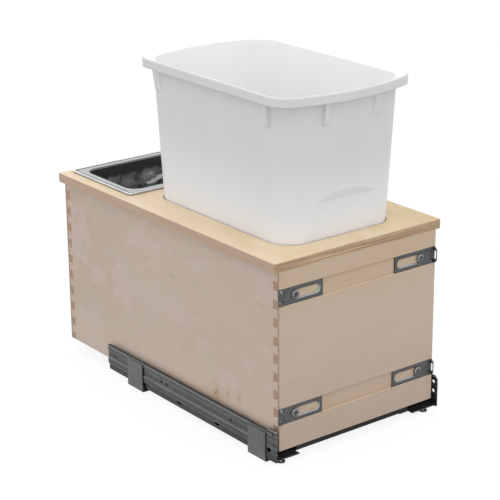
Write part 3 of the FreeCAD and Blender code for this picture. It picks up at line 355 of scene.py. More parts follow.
@shared_group("Fine Wood", ["Vector", "Pale", "Warm", "Fibre", "Figure"],
              ["Color", "Height", "Streak"])
def fine_wood(net, given):
    """Wood with its grain along X: cloudy colour, streaks and pores."""
    at = given["Vector"]
    cloud = net.noise(at, 1.0, 3.0, 0.55, stretch=(8.0, 15.0, 15.0), distortion=0.8)
    sway = net.noise(at, 1.0, 2.0, 0.5, stretch=(2.2, 5.0, 5.0))
    swayed = net.vector("ADD", at, net.joined(0.0, net.times(sway, 0.03), 0.0))
    bands = net.noise(swayed, 1.0, 3.0, 0.6, stretch=(1.4, 60.0, 60.0), distortion=0.3)
    width = net.maths("DIVIDE", 1.0, given["Fibre"])
    thin = net.vector("MULTIPLY", swayed, net.joined(12.0, width, width))
    fibres = net.noise(thin, 1.0, 3.0, 0.65)
    tone = net.plus(net.times(cloud, 0.84), net.times(bands, 0.16))
    colour = net.mix(net.between(tone, 0.38, 0.62), given["Pale"], given["Warm"])
    streak = net.between(fibres, 0.30, 0.72)
    colour = net.gained(colour, net.plus(1.0, net.swing(streak, given["Figure"])))
    return {"Color": colour, "Height": fibres, "Streak": streak}


@shared_group("Ply Layers", ["Vector", "Height", "Plies", "Light", "Dark", "Contrast"],
              ["Color", "Height"])
def ply_layers(net, given):
    """Plies seen on a sawn edge; Height runs from 0 to 1 through the board."""
    at = given["Vector"]
    wave = net.swing(net.noise(at, 22.0, 2.0), 0.05)
    level = net.times(net.plus(given["Height"], wave), given["Plies"])
    within = net.maths("FRACT", level)
    odd = net.maths("GREATER_THAN", net.maths("FRACT", net.times(level, 0.5)), 0.5)
    own = net.joined(0.0, 0.0, net.maths("FLOOR", level))
    flat = net.vector("MULTIPLY", at, (9.0, 9.0, 0.0))
    drift = net.between(net.noise(net.vector("ADD", flat, own), 1.0, 2.0), 0.30, 0.66, 0.0, 0.75)
    fleck = net.noise(at, 1.0, 2.0, 0.7, stretch=(900.0, 900.0, 300.0))
    shade = net.plus(net.times(odd, 0.45), drift)
    shade = net.plus(shade, net.swing(fleck, 0.5))
    shade = net.maths("MULTIPLY", shade, given["Contrast"], clamp=True)
    colour = net.mix(shade, given["Light"], given["Dark"])
    edge = net.maths("ABSOLUTE", net.minus(within, 0.5))
    glue = net.times(net.between(edge, 0.42, 0.49), 0.35)
    colour = net.toward(colour, (0.10, 0.06, 0.04), glue, given["Contrast"])
    return {"Color": colour, "Height": net.minus(fleck, glue)}


@shared_group("Eased Edge", ["Radius"], ["Normal", "Edge", "Upper", "Lower"])
def eased_edge(net, given):
    """Normal rounded at sharp edges, and masks of the edges that turn up and down, where
    materials paint highlights and shade.
    """
    soft = net.add("ShaderNodeBevel", {"Radius": given["Radius"]}, samples=6).outputs[0]
    flat = net.add("ShaderNodeNewGeometry").outputs["Normal"]
    turned = net.minus(1.0, net.vector("DOT_PRODUCT", soft, flat))
    edge = net.between(turned, 0.01, 0.20)
    rise = net.axes(soft)[2]
    upper, lower = (net.times(edge, net.between(rise, 0.10 * way, 0.50 * way))
                    for way in (1.0, -1.0))
    return {"Normal": soft, "Edge": edge, "Upper": upper, "Lower": lower}


@shared_group("Painted Seam Shade", ["Reach"], ["Mask"])
def seam_shade(net, given):
    """Mask of painted shade where surfaces meet."""
    clear = net.add("ShaderNodeAmbientOcclusion", {"Distance": given["Reach"]},
                    samples=8).outputs["AO"]
    return {"Mask": net.between(clear, 0.35, 0.92, 1.0, 0.0)}


@shared_group("Pin Knot", ["Vector", "Place", "Spread", "Strength"], ["Mask"])
def pin_knot(net, given):
    """Small mark at a place: a dark eye in a halo, drawn out along one direction."""
    off = net.vector("DIVIDE", net.vector("SUBTRACT", given["Vector"], given["Place"]),
                     given["Spread"])
    blur = net.swing(net.noise(off, 1.3, 2.0), 1.6)
    reach = net.plus(net.vector("LENGTH", off), blur)
    eye = net.between(reach, 0.15, 0.75, 1.0, 0.0)
    halo = net.between(reach, 0.2, 2.2, 0.35, 0.0)
    return {"Mask": net.times(net.maths("MAXIMUM", eye, halo), given["Strength"])}


@shared_group("Plated Sheet", ["Vector", "Base", "Scuff", "Spangle", "Roughness"],
              ["Color", "Roughness", "Height"])
def plated_sheet(net, given):
    """Zinc plated sheet: crystals, rolling marks and scuffs."""
    at = given["Vector"]
    scale = net.maths("DIVIDE", 1.0, given["Spangle"])
    crystal = net.add("ShaderNodeTexVoronoi", {"Vector": at, "Scale": scale}).outputs["Color"]
    grey = net.add("ShaderNodeRGBToBW", {0: crystal}).outputs[0]
    rolled = net.noise(at, 1.0, 3.0, 0.6, stretch=(90.0, 12.0, 700.0))
    cloud = net.noise(at, 18.0, 3.0, 0.6)
    speck = net.noise(at, 420.0, 3.0, 0.75)
    scuff = net.noise(at, 1.0, 4.0, 0.8, stretch=(260.0, 40.0, 260.0))
    value = net.plus(net.times(grey, 0.22), net.times(rolled, 0.30))
    value = net.plus(value, net.times(cloud, 0.55))
    value = net.plus(value, net.swing(speck, 0.9))
    gain = net.between(value, 0.20, 0.85, 0.62, 1.45, smooth=False)
    colour = net.gained(given["Base"], gain)
    colour = net.toward(colour, given["Scuff"], net.between(scuff, 0.60, 0.72), 0.25)
    rough = net.plus(given["Roughness"], net.swing(cloud, 0.30))
    rough = net.maths("SUBTRACT", rough, net.times(grey, 0.06), clamp=True)
    return {"Color": colour, "Roughness": rough, "Height": rolled}


@shared_group("Moulded Skin", ["Vector", "Base", "Grain", "Marks"], ["Color", "Height", "Haze"])
def moulded_skin(net, given):
    """Fine texture and flow marks of a moulding."""
    at = given["Vector"]
    grain = net.noise(at, given["Grain"], 3.0, 0.6)
    flow = net.noise(at, 1.0, 3.0, 0.6, stretch=(34.0, 34.0, 3.0), distortion=0.4)
    haze = net.noise(at, 9.0, 4.0, 0.65)
    tone = net.plus(net.swing(flow, given["Marks"]), net.swing(haze, given["Marks"]))
    colour = net.gained(given["Base"], net.plus(1.0, tone))
    height = net.plus(grain, net.times(flow, 1.5))
    return {"Color": colour, "Height": height, "Haze": haze}


@shared_group("Settled Dust", ["Vector", "Amount"], ["Mask"])
def settled_dust(net, given):
    """Mask of faint dust on faces that look up."""
    up = net.axes(net.add("ShaderNodeNewGeometry").outputs["Normal"])[2]
    specks = net.between(net.noise(given["Vector"], 420.0, 3.0, 0.7), 0.48, 0.74)
    drift = net.noise(given["Vector"], 14.0, 3.0, 0.6)
    mask = net.times(net.between(up, 0.35, 0.95), net.times(specks, drift))
    return {"Mask": net.times(mask, given["Amount"])}


# ---------------- materials


def blank(name):
    """New material, its net, its Object coordinates and its object-space normal."""
    made = bpy.data.materials.new(name)
    made.use_nodes = True
    net = Net(made.node_tree)
    given = net.add("ShaderNodeTexCoord").outputs
    return made, net, given["Object"], given["Normal"]


def surface(net, colour, rough, relief, normal, more):
    """Ends a material; relief is a height and its bump's strength and distance."""
    height, strength, distance = relief
    bump = net.add("ShaderNodeBump", {"Height": height, "Strength": strength,
                                      "Distance": distance, "Normal": normal})
    shader = net.add("ShaderNodeBsdfPrincipled", {"Base Color": colour, "Roughness": rough,
                                                  "Normal": bump.outputs[0], **more})
    net.add("ShaderNodeOutputMaterial", {0: shader.outputs[0]})


def seen_by(net, *rays):
    """1 for these kinds of ray."""
    path = net.add("ShaderNodeLightPath").outputs
    seen = path[f"Is {rays[0]} Ray"]
    for ray in rays[1:]:
        seen = net.maths("MAXIMUM", seen, path[f"Is {ray} Ray"])
    return seen


def scaled(colour, gain):
    """Setting's colour made lighter or darker."""
    return [min(1.0, c * gain) for c in colour]


def along(net, vector, axis):
    """Coordinates turned so that the grain's axis comes first."""
    x, y, z = net.axes(vector)
    return net.joined(x, y, z) if axis == 0 else net.joined(y, x, z)


def facing(net, normal, axis):
    """1 on faces that look along an axis."""
    part = net.maths("ABSOLUTE", net.axes(normal)[axis])
    return net.between(part, 0.70, 0.74)


def outward(net, at, normal, middle):
    """1 on walls that look away from an upright line through the middle."""
    out = net.vector("MULTIPLY", net.vector("SUBTRACT", at, middle), (1.0, 1.0, 0.0))
    away = net.vector("DOT_PRODUCT", net.vector("NORMALIZE", out), normal)
    return net.between(away, 0.02, 0.30)


def spot(net, at, place, spread, strength):
    """Mask of one small mark."""
    return pin_knot(net, Vector=at, Place=place, Spread=spread, Strength=strength)["Mask"]


def seam_shaded(net, colour, tone, reach, share):
    """Colour darkened by painted shade where surfaces meet."""
    return net.toward(colour, tone, seam_shade(net, Reach=reach)["Mask"], share)


def dusted(net, at, colour, amount):
    """Colour under a little dust."""
    dust = settled_dust(net, Vector=at, Amount=amount)["Mask"]
    return net.mix(dust, colour, SCENE.plastic_look.dust)


def board(name, axis, seed, knots=(), warm_share=1.0, levels=(), figure=0.055, blush=0.75):
    """Lacquered maple board with its grain along X (0) or Y (1); painted highlights on its upper
    edges and upward faces, painted shade on its lower edges and seams.

    A knot is a tone, place, spread and strength; a level is an axis, where its tint is
    none, where it is full, and the tint.
    """
    look, edges_and_shade = SCENE.wood_look, SCENE.wear_look
    made, net, at, normal = blank(name)
    shifted = net.vector("ADD", along(net, at, axis), seed)
    warm = Vector(look.face).lerp(look.face_warm, warm_share)
    wood = fine_wood(net, Vector=shifted, Pale=look.face, Warm=warm, Fibre=look.fibre,
                     Figure=figure)
    colour = wood["Color"]
    for tint_axis, none, full, tint in levels:
        share = net.between(net.axes(at)[tint_axis], none, full)
        colour = net.mix(share, colour, net.tinted(colour, tint))
    cloud = net.noise(shifted, 1.0, 3.0, 0.6, stretch=(16.0, 20.0, 22.0), distortion=1.2)
    colour = net.toward(colour, look.blush, net.between(cloud, 0.48, 0.68), blush)
    for tone, *mark in knots:
        colour = net.mix(spot(net, at, *mark), colour, getattr(look, tone))

    cut = facing(net, normal, axis)
    pores = net.noise(at, 1.0, 3.0, 0.75, stretch=(1100.0, 1100.0, 1100.0))
    rings = net.noise(at, 1.0, 2.0, 0.5, stretch=(120.0, 120.0, 260.0), distortion=0.8)
    end = net.mix(net.between(rings, 0.35, 0.65), look.end_grain, scaled(look.end_grain, 1.25))
    end = net.toward(end, scaled(look.end_grain, 0.5), net.between(pores, 0.52, 0.70), 0.35)
    colour = net.mix(cut, colour, end)

    eased = eased_edge(net, Radius=edges_and_shade.wood_edge)
    # Painted shade on edges that turn down, painted highlight on edges that turn up.
    colour = net.toward(colour, look.end_grain, eased["Lower"], 0.40)
    colour = net.toward(colour, look.top, eased["Upper"], 0.45)
    # Painted shade in the seams.
    colour = seam_shaded(net, colour, look.end_grain, edges_and_shade.fine_line, 0.30)
    # Painted highlight: faces that look up take the pale top colour.
    colour = net.toward(colour, look.top, net.between(net.axes(normal)[2], 0.2, 0.6), 0.9)
    rough = net.plus(net.times(cut, 0.18), net.between(wood["Streak"], 0.0, 1.0, 0.50, 0.42))
    height = net.plus(wood["Height"], net.times(cut, pores))
    surface(net, colour, rough, (height, 0.22, 0.25 * MM), eased["Normal"],
            {"Coat Weight": 0.12, "Coat Roughness": 0.28})
    return made


def plywood(name, node, tint, warm, seed):
    """Veneered plywood with its grain along Y; shows its plies on every sawn edge."""
    look, edges_and_shade = SCENE.wood_look, SCENE.wear_look
    low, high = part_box(node)
    made, net, at, normal = blank(name)
    shifted = net.vector("ADD", along(net, at, 1), seed)
    wood = fine_wood(net, Vector=shifted, Pale=tint, Warm=warm, Fibre=look.fibre, Figure=0.09)
    level = net.between(net.axes(at)[2], low.z, high.z, smooth=False)
    ends = facing(net, normal, 1)
    contrast = net.between(ends, 0.0, 1.0, 0.26, 0.95)
    plies = ply_layers(net, Vector=at, Height=level, Plies=float(look.plies),
                       Light=look.ply_light, Dark=look.ply_dark, Contrast=contrast)
    flat = facing(net, normal, 2)
    right = net.between(net.axes(at)[0], 20.0 * MM, high.x)
    veneer = net.mix(right, wood["Color"], net.tinted(wood["Color"], look.top_aged))
    sides = net.tinted(plies["Color"], look.ply_side)
    colour = net.mix(flat, net.mix(ends, sides, plies["Color"]), veneer)
    eased = eased_edge(net, Radius=edges_and_shade.fine_edge)
    colour = net.toward(colour, look.ply_light, eased["Edge"], 0.30)
    # Painted shade in the plywood's seams.
    colour = seam_shaded(net, colour, look.end_grain, edges_and_shade.ply_line, 0.25)
    rough = net.between(flat, 0.0, 1.0, 0.62, 0.40)
    height = net.mix(flat, plies["Height"], wood["Height"])
    surface(net, colour, rough, (height, 0.20, 0.25 * MM), eased["Normal"],
            {"Coat Weight": 0.15, "Coat Roughness": 0.25})
    return made


def sheet_metal(name, base, rough=0.42, metallic=0.55, edge=0.5, bands=(), dish_highlight=0.0):
    """Plated sheet with painted highlights on its upper edges, and painted shade below and in its
    seams.

    A band, painted shade or highlight, is a height, half width, tone and share; dish_highlight
    paints a highlight on dished slots, and edge is the share of the upper edges' painted
    highlight.
    """
    look, edges_and_shade = SCENE.metal_look, SCENE.wear_look
    made, net, at, normal = blank(name)
    sheet = plated_sheet(net, Vector=at, Base=base, Scuff=look.scuff, Spangle=look.spangle,
                         Roughness=rough)
    colour = sheet["Color"]
    z = net.axes(at)[2]
    for middle, half, tone, share in bands:
        off = net.maths("ABSOLUTE", net.minus(z, middle))
        band = net.between(off, half, half - 0.4 * MM)
        colour = net.toward(colour, getattr(look, tone), band, share)
    # Painted light: faces that look up are drawn lighter, faces that look down darker.
    rise = net.axes(normal)[2]
    colour = net.gained(colour, net.between(rise, -0.75, 0.75, 0.50, 1.55, smooth=False))
    # Painted highlight on the lower slopes of dished slots.
    if dish_highlight:
        part = net.maths("ABSOLUTE", net.axes(normal)[1])
        dished = net.minus(net.between(part, 0.30, 0.45), net.between(part, 0.90, 0.97))
        dished = net.times(dished, net.between(rise, -0.60, 0.30, 0.30, 1.0))
        colour = net.toward(colour, look.bright_and_highlight, dished, dish_highlight)
    # Painted shade in the seams.
    colour = seam_shaded(net, colour, look.black, edges_and_shade.metal_line, 0.60)
    eased = eased_edge(net, Radius=edges_and_shade.metal_edge)
    # Painted highlight on edges that turn up, painted shade on edges that turn down.
    colour = net.toward(colour, look.bright_and_highlight, eased["Upper"], edge)
    colour = net.toward(colour, look.black, eased["Lower"], 0.55)
    surface(net, colour, sheet["Roughness"], (sheet["Height"], 0.25, 0.1 * MM),
            eased["Normal"], {"Metallic": metallic})
    return made


def rail_bands():
    """Painted shade and highlights: dark and bright bands along the folds of the cabinet rails'
    sheet.
    """
    foot, top = (corner.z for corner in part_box("cabinet_rail_left"))
    for start, way, rows in ((foot, MM, BANDS_FROM_FOOT), (top, -MM, BANDS_FROM_TOP)):
        for distance, half, tone, share in rows:
            yield start + distance * way, half * MM, tone, share


def outline_depth(net, at, low, high, corner):
    """How far a point lies inside a node's rounded outline, seen from above."""
    middle = (low + high) / 2
    core = (high - low) / 2 - Vector((corner, corner, 0.0))
    off = net.vector("ABSOLUTE", net.vector("SUBTRACT", at, (middle.x, middle.y, 0.0)))
    off = net.vector("MULTIPLY", net.vector("SUBTRACT", off, (core.x, core.y, 0.0)),
                     (1.0, 1.0, 0.0))
    x, y, _ = net.axes(off)
    outer = net.vector("LENGTH", net.vector("MAXIMUM", off, (0.0, 0.0, 0.0)))
    inner = net.maths("MINIMUM", net.maths("MAXIMUM", x, y), 0.0)
    return net.minus(corner, net.plus(outer, inner))


def drawn_steel(name):
    """Stainless pan: satin flange with a painted shadow line by its bead; painted reflection
    inside: dark walls, bright-streaked grey below.
    """
    look, edges_and_shade, sizes = SCENE.metal_look, SCENE.wear_look, SCENE.pan_sizes
    pan = look.pan
    low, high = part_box("food_pan")
    made, net, at, normal = blank(name)
    z = net.axes(at)[2]
    cloud = net.noise(at, 60.0, 4.0, 0.7)
    # Painted reflection inside the pan: dark walls above a wavering line, a lighter mottled grey
    # below it with bright streaks of painted highlight, and the floor, facing up, a darker grey.
    wall_reflection = net.mix(cloud, scaled(pan, 0.07), scaled(pan, 0.14))

    grey = net.mix(net.between(cloud, 0.38, 0.62), scaled(pan, 0.06), scaled(pan, 0.46))
    back = high.y - 10.6 * MM
    for across, below, half_width, half_height, strength in PAN_HIGHLIGHTS:
        mark = spot(net, at, (across * MM, back, high.z - below * MM),
                    (half_width * MM, 30.0 * MM, half_height * MM), strength)
        grey = net.mix(mark, grey, scaled(pan, 2.2))
    spots = net.between(net.noise(at, 260.0, 3.0, 0.7), 0.54, 0.70)
    grey = net.toward(grey, pan, spots, 0.35)
    upturned_floor = net.between(net.axes(normal)[2], 0.5, 0.9, 0.0, 0.4)
    grey = net.mix(upturned_floor, grey, scaled(pan, 0.20))

    sway = net.noise(at, 28.0, 3.0, 0.6)
    reflection_line = net.plus(high.z - 22.0 * MM, net.times(sway, 8.0 * MM))
    lower = net.between(net.minus(z, reflection_line), -2.0 * MM, 1.5 * MM, 1.0, 0.0)
    inside = net.mix(lower, wall_reflection, grey)
    under = net.mix(cloud, scaled(pan, 0.50), scaled(pan, 0.80))
    inside = net.mix(outward(net, at, normal, (low + high) / 2), inside, under)

    # Painted shadow line on the flange just inside the bead.
    rim_depth = outline_depth(net, at, low, high, sizes.bead_corner + sizes.bead)
    bead_shadow = net.maths("ABSOLUTE", net.minus(rim_depth, 3.0 * sizes.bead))
    bead_shadow = net.between(bead_shadow, 1.4 * sizes.bead, sizes.bead)
    flange = net.toward(pan, look.black, bead_shadow, 0.95)
    depth = net.between(z, high.z - 3.2 * MM, high.z - 2.4 * MM, 1.0, 0.0)
    colour = net.mix(depth, flange, inside)
    # Painted shade in the seams; painted highlight on edges that turn up.
    colour = seam_shaded(net, colour, look.black, edges_and_shade.fine_line, 0.45)
    eased = eased_edge(net, Radius=edges_and_shade.metal_edge)
    colour = net.toward(colour, look.bright_and_highlight, eased["Upper"], 0.5)
    rough = net.maths("ADD", 0.30, net.swing(cloud, 0.20), clamp=True)
    brushed = net.noise(at, 1.0, 3.0, 0.6, stretch=(30.0, 1800.0, 900.0))
    height = net.plus(net.times(brushed, 0.4), cloud)
    surface(net, colour, rough, (height, 0.08, 0.3 * MM), eased["Normal"],
            {"Metallic": net.between(depth, 0.0, 1.0, 0.60, 0.25)})
    return made


def moulding(name, base, rough=0.38, grain=900.0):
    """Small moulded part's plastic."""
    made, net, at, _ = blank(name)
    skin = moulded_skin(net, Vector=at, Base=base, Grain=grain, Marks=0.05)
    colour = dusted(net, at, skin["Color"], 0.10)
    rough = net.plus(rough, net.times(skin["Haze"], 0.10))
    eased = eased_edge(net, Radius=SCENE.wear_look.fine_edge)
    surface(net, colour, rough, (skin["Height"], 0.12, 0.2 * MM), eased["Normal"],
            {"IOR": 1.49})
    return made


def bin_skin(name):
    """Bin's plastic: duller outside, with painted light: the inside drawn lighter than the greyer
    outside, and the outside pale near the platform.
    """
    look = SCENE.plastic_look
    low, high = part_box("waste_bin")
    made, net, at, normal = blank(name)
    outside = outward(net, at, normal, (low + high) / 2)
    z = net.axes(at)[2]

    # Painted bounce light: the pale zone fades upwards from the platform's top, and half as fast
    # downwards.
    above = net.minus(z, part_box("platform")[1].z)
    away = net.maths("MAXIMUM", above, net.times(above, -0.5))
    shade = net.mix(net.between(away, 0.0, 130.0 * MM, 1.0, 0.0), look.bin_outside,
                    look.bin_foot_light)
    shade = net.mix(net.between(away, 2.0 * MM, 50.0 * MM, 0.30, 0.0), shade, look.bin_inside)
    skirt = net.between(z, high.z - 13.8 * MM, high.z - 12.8 * MM)
    shade = net.mix(skirt, shade, look.bin_rim)
    # Painted shade: the rim's top and upper inner mouth are drawn a little darker.
    lip = net.between(z, high.z - 4.5 * MM, high.z - 3.0 * MM)
    pale = net.mix(lip, look.bin_inside, scaled(look.bin_inside, 0.90))

    # The inside is painted lighter than the outside: painted light.
    base = net.mix(outside, pale, shade)
    skin = moulded_skin(net, Vector=at, Base=base, Grain=700.0, Marks=0.035)
    colour = dusted(net, at, skin["Color"], 0.08)
    rough = net.plus(0.30, net.times(skin["Haze"], 0.12))
    rough = net.plus(rough, net.times(outside, 0.10))
    eased = eased_edge(net, Radius=SCENE.wear_look.bin_edge)
    # Painted highlight on edges that turn up.
    colour = net.toward(colour, look.bin_inside, eased["Upper"], 0.85)
    surface(net, colour, rough, (skin["Height"], 0.10, 0.2 * MM), eased["Normal"],
            {"IOR": 1.49})
    return made


def dress(made, *nodes):
    """Gives a material to every slot of these nodes."""
    for node in nodes:
        for slot in NODES[node].material_slots:
            slot.material = made


def both(*names):
    """Left and right nodes of each pair."""
    return [f"{name}_{side}" for name in names for side in ("left", "right")]


# ---------------- screws and bead


def grow_ring(bm, ring, shift, scale=1.0):
    """Extrudes an edge loop, scales it about Z and moves it."""
    made = bmesh.ops.extrude_edge_only(bm, edges=ring)["geom"]
    verts = [g for g in made if isinstance(g, bmesh.types.BMVert)]
    bmesh.ops.scale(bm, verts=verts, vec=(scale, scale, 1.0))
    bmesh.ops.translate(bm, verts=verts, vec=shift)
    return [g for g in made if isinstance(g, bmesh.types.BMEdge)], verts


def drive_reach(angle, arm, slot):
    """How far a cross drive's outline lies from its centre in a direction."""
    quarter = angle % (math.pi / 2)
    off = min(quarter, math.pi / 2 - quarter)
    return min(arm / math.cos(off), slot / max(math.sin(off), 1e-6))


def cross_screw(head_radius, head_height, shank_radius, shank_length):
    """Screw along Z with its head's underside at zero and a cross drive in its crown."""
    sizes = SCENE.screw_sizes
    size = head_radius / sizes.door_head
    bm = bmesh.new()
    bmesh.ops.create_circle(bm, segments=48, radius=head_radius)
    ring = list(bm.edges)
    rim = list(bm.verts)
    # Steps of the domed crown: scale, and share of the head's height. The last ring then
    # takes the drive's outline.
    crown = ((1.0, 0.25), (0.985, 0.20), (0.955, 0.18), (0.90, 0.15), (0.80, 0.13),
             (0.70, 0.07), (0.96, 0.02))
    for scale, rise in crown:
        ring, verts = grow_ring(bm, ring, (0.0, 0.0, rise * head_height), scale)
    for v in verts:
        angle = math.atan2(v.co.y, v.co.x)
        reach = drive_reach(angle, sizes.arm, sizes.slot) * size
        v.co.x, v.co.y = math.cos(angle) * reach, math.sin(angle) * reach
    sink = -0.5 * sizes.depth * size
    for scale in (0.90, 0.62):
        ring, _ = grow_ring(bm, ring, (0.0, 0.0, sink), scale)
    bmesh.ops.contextual_create(bm, geom=ring)
    ring = [e for e in bm.edges if e.is_boundary and all(v in rim for v in e.verts)]
    shank = ((shank_radius / head_radius, 0.0), (1.0, -0.8), (0.25, -0.2))
    for scale, rise in shank:
        ring, _ = grow_ring(bm, ring, (0.0, 0.0, rise * shank_length), scale)
    bmesh.ops.contextual_create(bm, geom=ring)
    bmesh.ops.recalc_face_normals(bm, faces=bm.faces)
    return bm


def bead(half_x, half_y, corner, radius):
    """Round bead along a level rounded rectangle about zero."""
    bm = bmesh.new()
    start = Matrix.Translation((half_x, corner - half_y, 0.0))
    upright = Matrix.Rotation(math.pi / 2, 4, "X")
    bmesh.ops.create_circle(bm, segments=12, radius=radius, matrix=start @ upright)
    ring = list(bm.edges)
    across, deep = half_x - corner, half_y - corner
    runs = (((0.0, 2 * deep, 0.0), (across, deep, 0.0)),
            ((-2 * across, 0.0, 0.0), (-across, deep, 0.0)),
            ((0.0, -2 * deep, 0.0), (-across, -deep, 0.0)),
            ((2 * across, 0.0, 0.0), (across, -deep, 0.0)))
    for run, pivot in runs:
        ring, _ = grow_ring(bm, ring, run)
        made = bmesh.ops.spin(bm, geom=ring, cent=pivot, axis=(0.0, 0.0, 1.0), steps=6,
                              angle=math.pi / 2, use_merge=False)["geom_last"]
        ring = [g for g in made if isinstance(g, bmesh.types.BMEdge)]
    bmesh.ops.remove_doubles(bm, verts=bm.verts, dist=1e-6)
    bmesh.ops.recalc_face_normals(bm, faces=bm.faces)
    return bm


def new_mesh(name, bm, made):
    """Mesh of a bmesh, with its material."""
    mesh = bpy.data.meshes.new(name)
    bm.to_mesh(mesh)
    bm.free()
    mesh.materials.append(made)
    return mesh


def new_object(name, data):
    """Object in the scene that holds this data."""
    piece = bpy.data.objects.new(name, data)
    SCENE.collection.objects.link(piece)
    return piece


def settle(bm, name, turn, place, made, body):
    """Makes a piece of a bmesh, turned and placed in its mesh, riding on a body."""
    bmesh.ops.transform(bm, matrix=Matrix.Translation(place) @ turn, verts=bm.verts)
    mesh = new_mesh(name, bm, made)
    mesh.shade_smooth()
    mesh.set_sharp_from_angle(angle=math.radians(35.0))
    piece = new_object(name, mesh)
    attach(piece, body)
    return piece


# ---------------- operators


class WASTE_OT_box(bpy.types.Operator):
    """Gives the wooden box its maple, end grain and plywood"""

    bl_idname = "waste.box"
    bl_label = "Wooden Box"

    def execute(self, context):
        look = context.scene.wood_look
        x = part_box("side_panel_left")[0].x
        knots = [(tone, (x, y * MM, z * MM), (20.0 * MM, length * MM, height * MM), strength)
                 for tone, y, z, length, height, strength in LEFT_KNOTS]
        levels = ((1, 20.0 * MM, 240.0 * MM, (0.930, 0.930, 0.920)),
                  (2, 110.0 * MM, 40.0 * MM, (1.110, 1.110, 1.120)))
        dress(board("maple_left", 1, (0.3, 0.1, 0.0), knots, 0.75, levels), "side_panel_left")
        dress(board("maple_right", 1, (1.7, 0.4, 0.3), warm_share=0.75, blush=0.5),
              "side_panel_right")
        low, high = (corner.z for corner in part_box("front_panel"))
        # The first level is painted shade: the front panel drawn darker towards its foot.
        levels = ((2, low + 150.0 * MM, low + 10.0 * MM, (0.900, 0.870, 0.845)),
                  (2, high - 100.0 * MM, high - 20.0 * MM, (1.000, 0.950, 0.815)),
                  (2, low + 60.0 * MM, low + 42.0 * MM, (1.030, 0.985, 0.850)),
                  (2, low + 38.8 * MM, low + 38.2 * MM, (0.970, 1.015, 1.170)))
        dress(board("maple_front", 0, (2.9, 0.8, 0.2), warm_share=0.5, levels=levels,
                    figure=0.03, blush=0.15), "front_panel")
        dress(board("maple_back", 0, (4.1, 1.2, 0.6), blush=0.4), "back_panel")
        dress(board("dowel_wood", 1, (5.0, 0.0, 0.0)), "platform_dowels")
        warm = [c * gain for c, gain in zip(look.top, (0.93, 0.88, 0.78))]
        dress(plywood("ply_top", "platform", look.top, warm, (6.0, 0.0, 0.4)), "platform")
        dress(plywood("ply_floor", "floor_panel", look.face, look.face_warm, (7.0, 0.3, 0.0)),
              "floor_panel")
        return {"FINISHED"}


class WASTE_OT_bin(bpy.types.Operator):
    """Gives the waste bin its white plastic"""

    bl_idname = "waste.bin"
    bl_label = "Waste Bin"

    def execute(self, context):
        dress(bin_skin("bin_plastic"), "waste_bin")
        return {"FINISHED"}


class WASTE_OT_pan(bpy.types.Operator):
    """Gives the food pan its drawn steel and the rolled bead of its flange"""

    bl_idname = "waste.pan"
    bl_label = "Food Pan"

    def execute(self, context):
        dress(drawn_steel("pan_steel"), "food_pan")
        sizes = context.scene.pan_sizes
        low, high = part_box("food_pan")
        middle = (low + high) / 2
        middle.z = high.z - sizes.bead_sink
        half = (high - low) / 2 - Vector((sizes.bead, sizes.bead, 0.0))
        steel = sheet_metal("bead_steel", context.scene.metal_look.bright_and_highlight, 0.22, 0.6, 0.3)
        bm = bead(half.x, half.y, sizes.bead_corner, sizes.bead)
        settle(bm, "pan_bead", Matrix.Identity(4), middle, steel, "pan")
        return {"FINISHED"}


class WASTE_OT_slides(bpy.types.Operator):
    """Gives the slides, brackets and tie bar their plating"""

    bl_idname = "waste.slides"
    bl_label = "Slides and Brackets"

    def execute(self, context):
        look = context.scene.metal_look
        plastic = context.scene.plastic_look
        # Cabinet rails: a darker copy of the zinc as painted shade, with painted bands of shade
        # and highlight.
        rail = sheet_metal("rail_zinc", scaled(look.zinc, 0.66), 0.40, bands=rail_bands())
        dress(rail, *both("cabinet_rail"))
        dress(sheet_metal("slide_zinc", look.zinc, 0.34), *both("middle_rail", "drawer_rail"))
        dress(sheet_metal("foot_zinc", scaled(look.zinc, 1.15), 0.45),
              *both("floor_bracket_front", "floor_bracket_rear"))
        # Door brackets: painted highlights on their upper edges and dished slots.
        dress(sheet_metal("door_zinc", scaled(look.zinc, 0.75), edge=0.40, dish_highlight=0.60),
              *both("door_bracket_upper", "door_bracket_lower"))
        dress(sheet_metal("tie_black", look.black, 0.85, 0.0, 0.0), "tie_bar")
        dress(sheet_metal("rivet_steel", look.screw, 0.32), "floor_bracket_rivets",
              "tie_bar_rivets")
        dress(sheet_metal("roller_steel", look.bright_and_highlight, 0.18, 1.0),
              *both("rollers_lower", "rollers_upper"))
        dress(moulding("cage_acetal", plastic.cage),
              *both("roller_cage_lower", "roller_cage_upper"))
        dress(moulding("buffer_rubber", plastic.rubber, 0.62, 1400.0), *both("rail_buffer"))
        return {"FINISHED"}


class WASTE_OT_locks(bpy.types.Operator):
    """Gives the lock clips and release levers their plastics"""

    bl_idname = "waste.locks"
    bl_label = "Lock Clips"

    def execute(self, context):
        look = context.scene.plastic_look
        dress(moulding("clip_nylon", look.clip, 0.45, 1100.0), *both("lock_clip"))
        dress(moulding("lever_nylon", look.lever, 0.40, 1100.0), *both("release_lever"))
        dress(sheet_metal("pin_steel", context.scene.metal_look.screw, 0.30), "lever_pins")
        return {"FINISHED"}


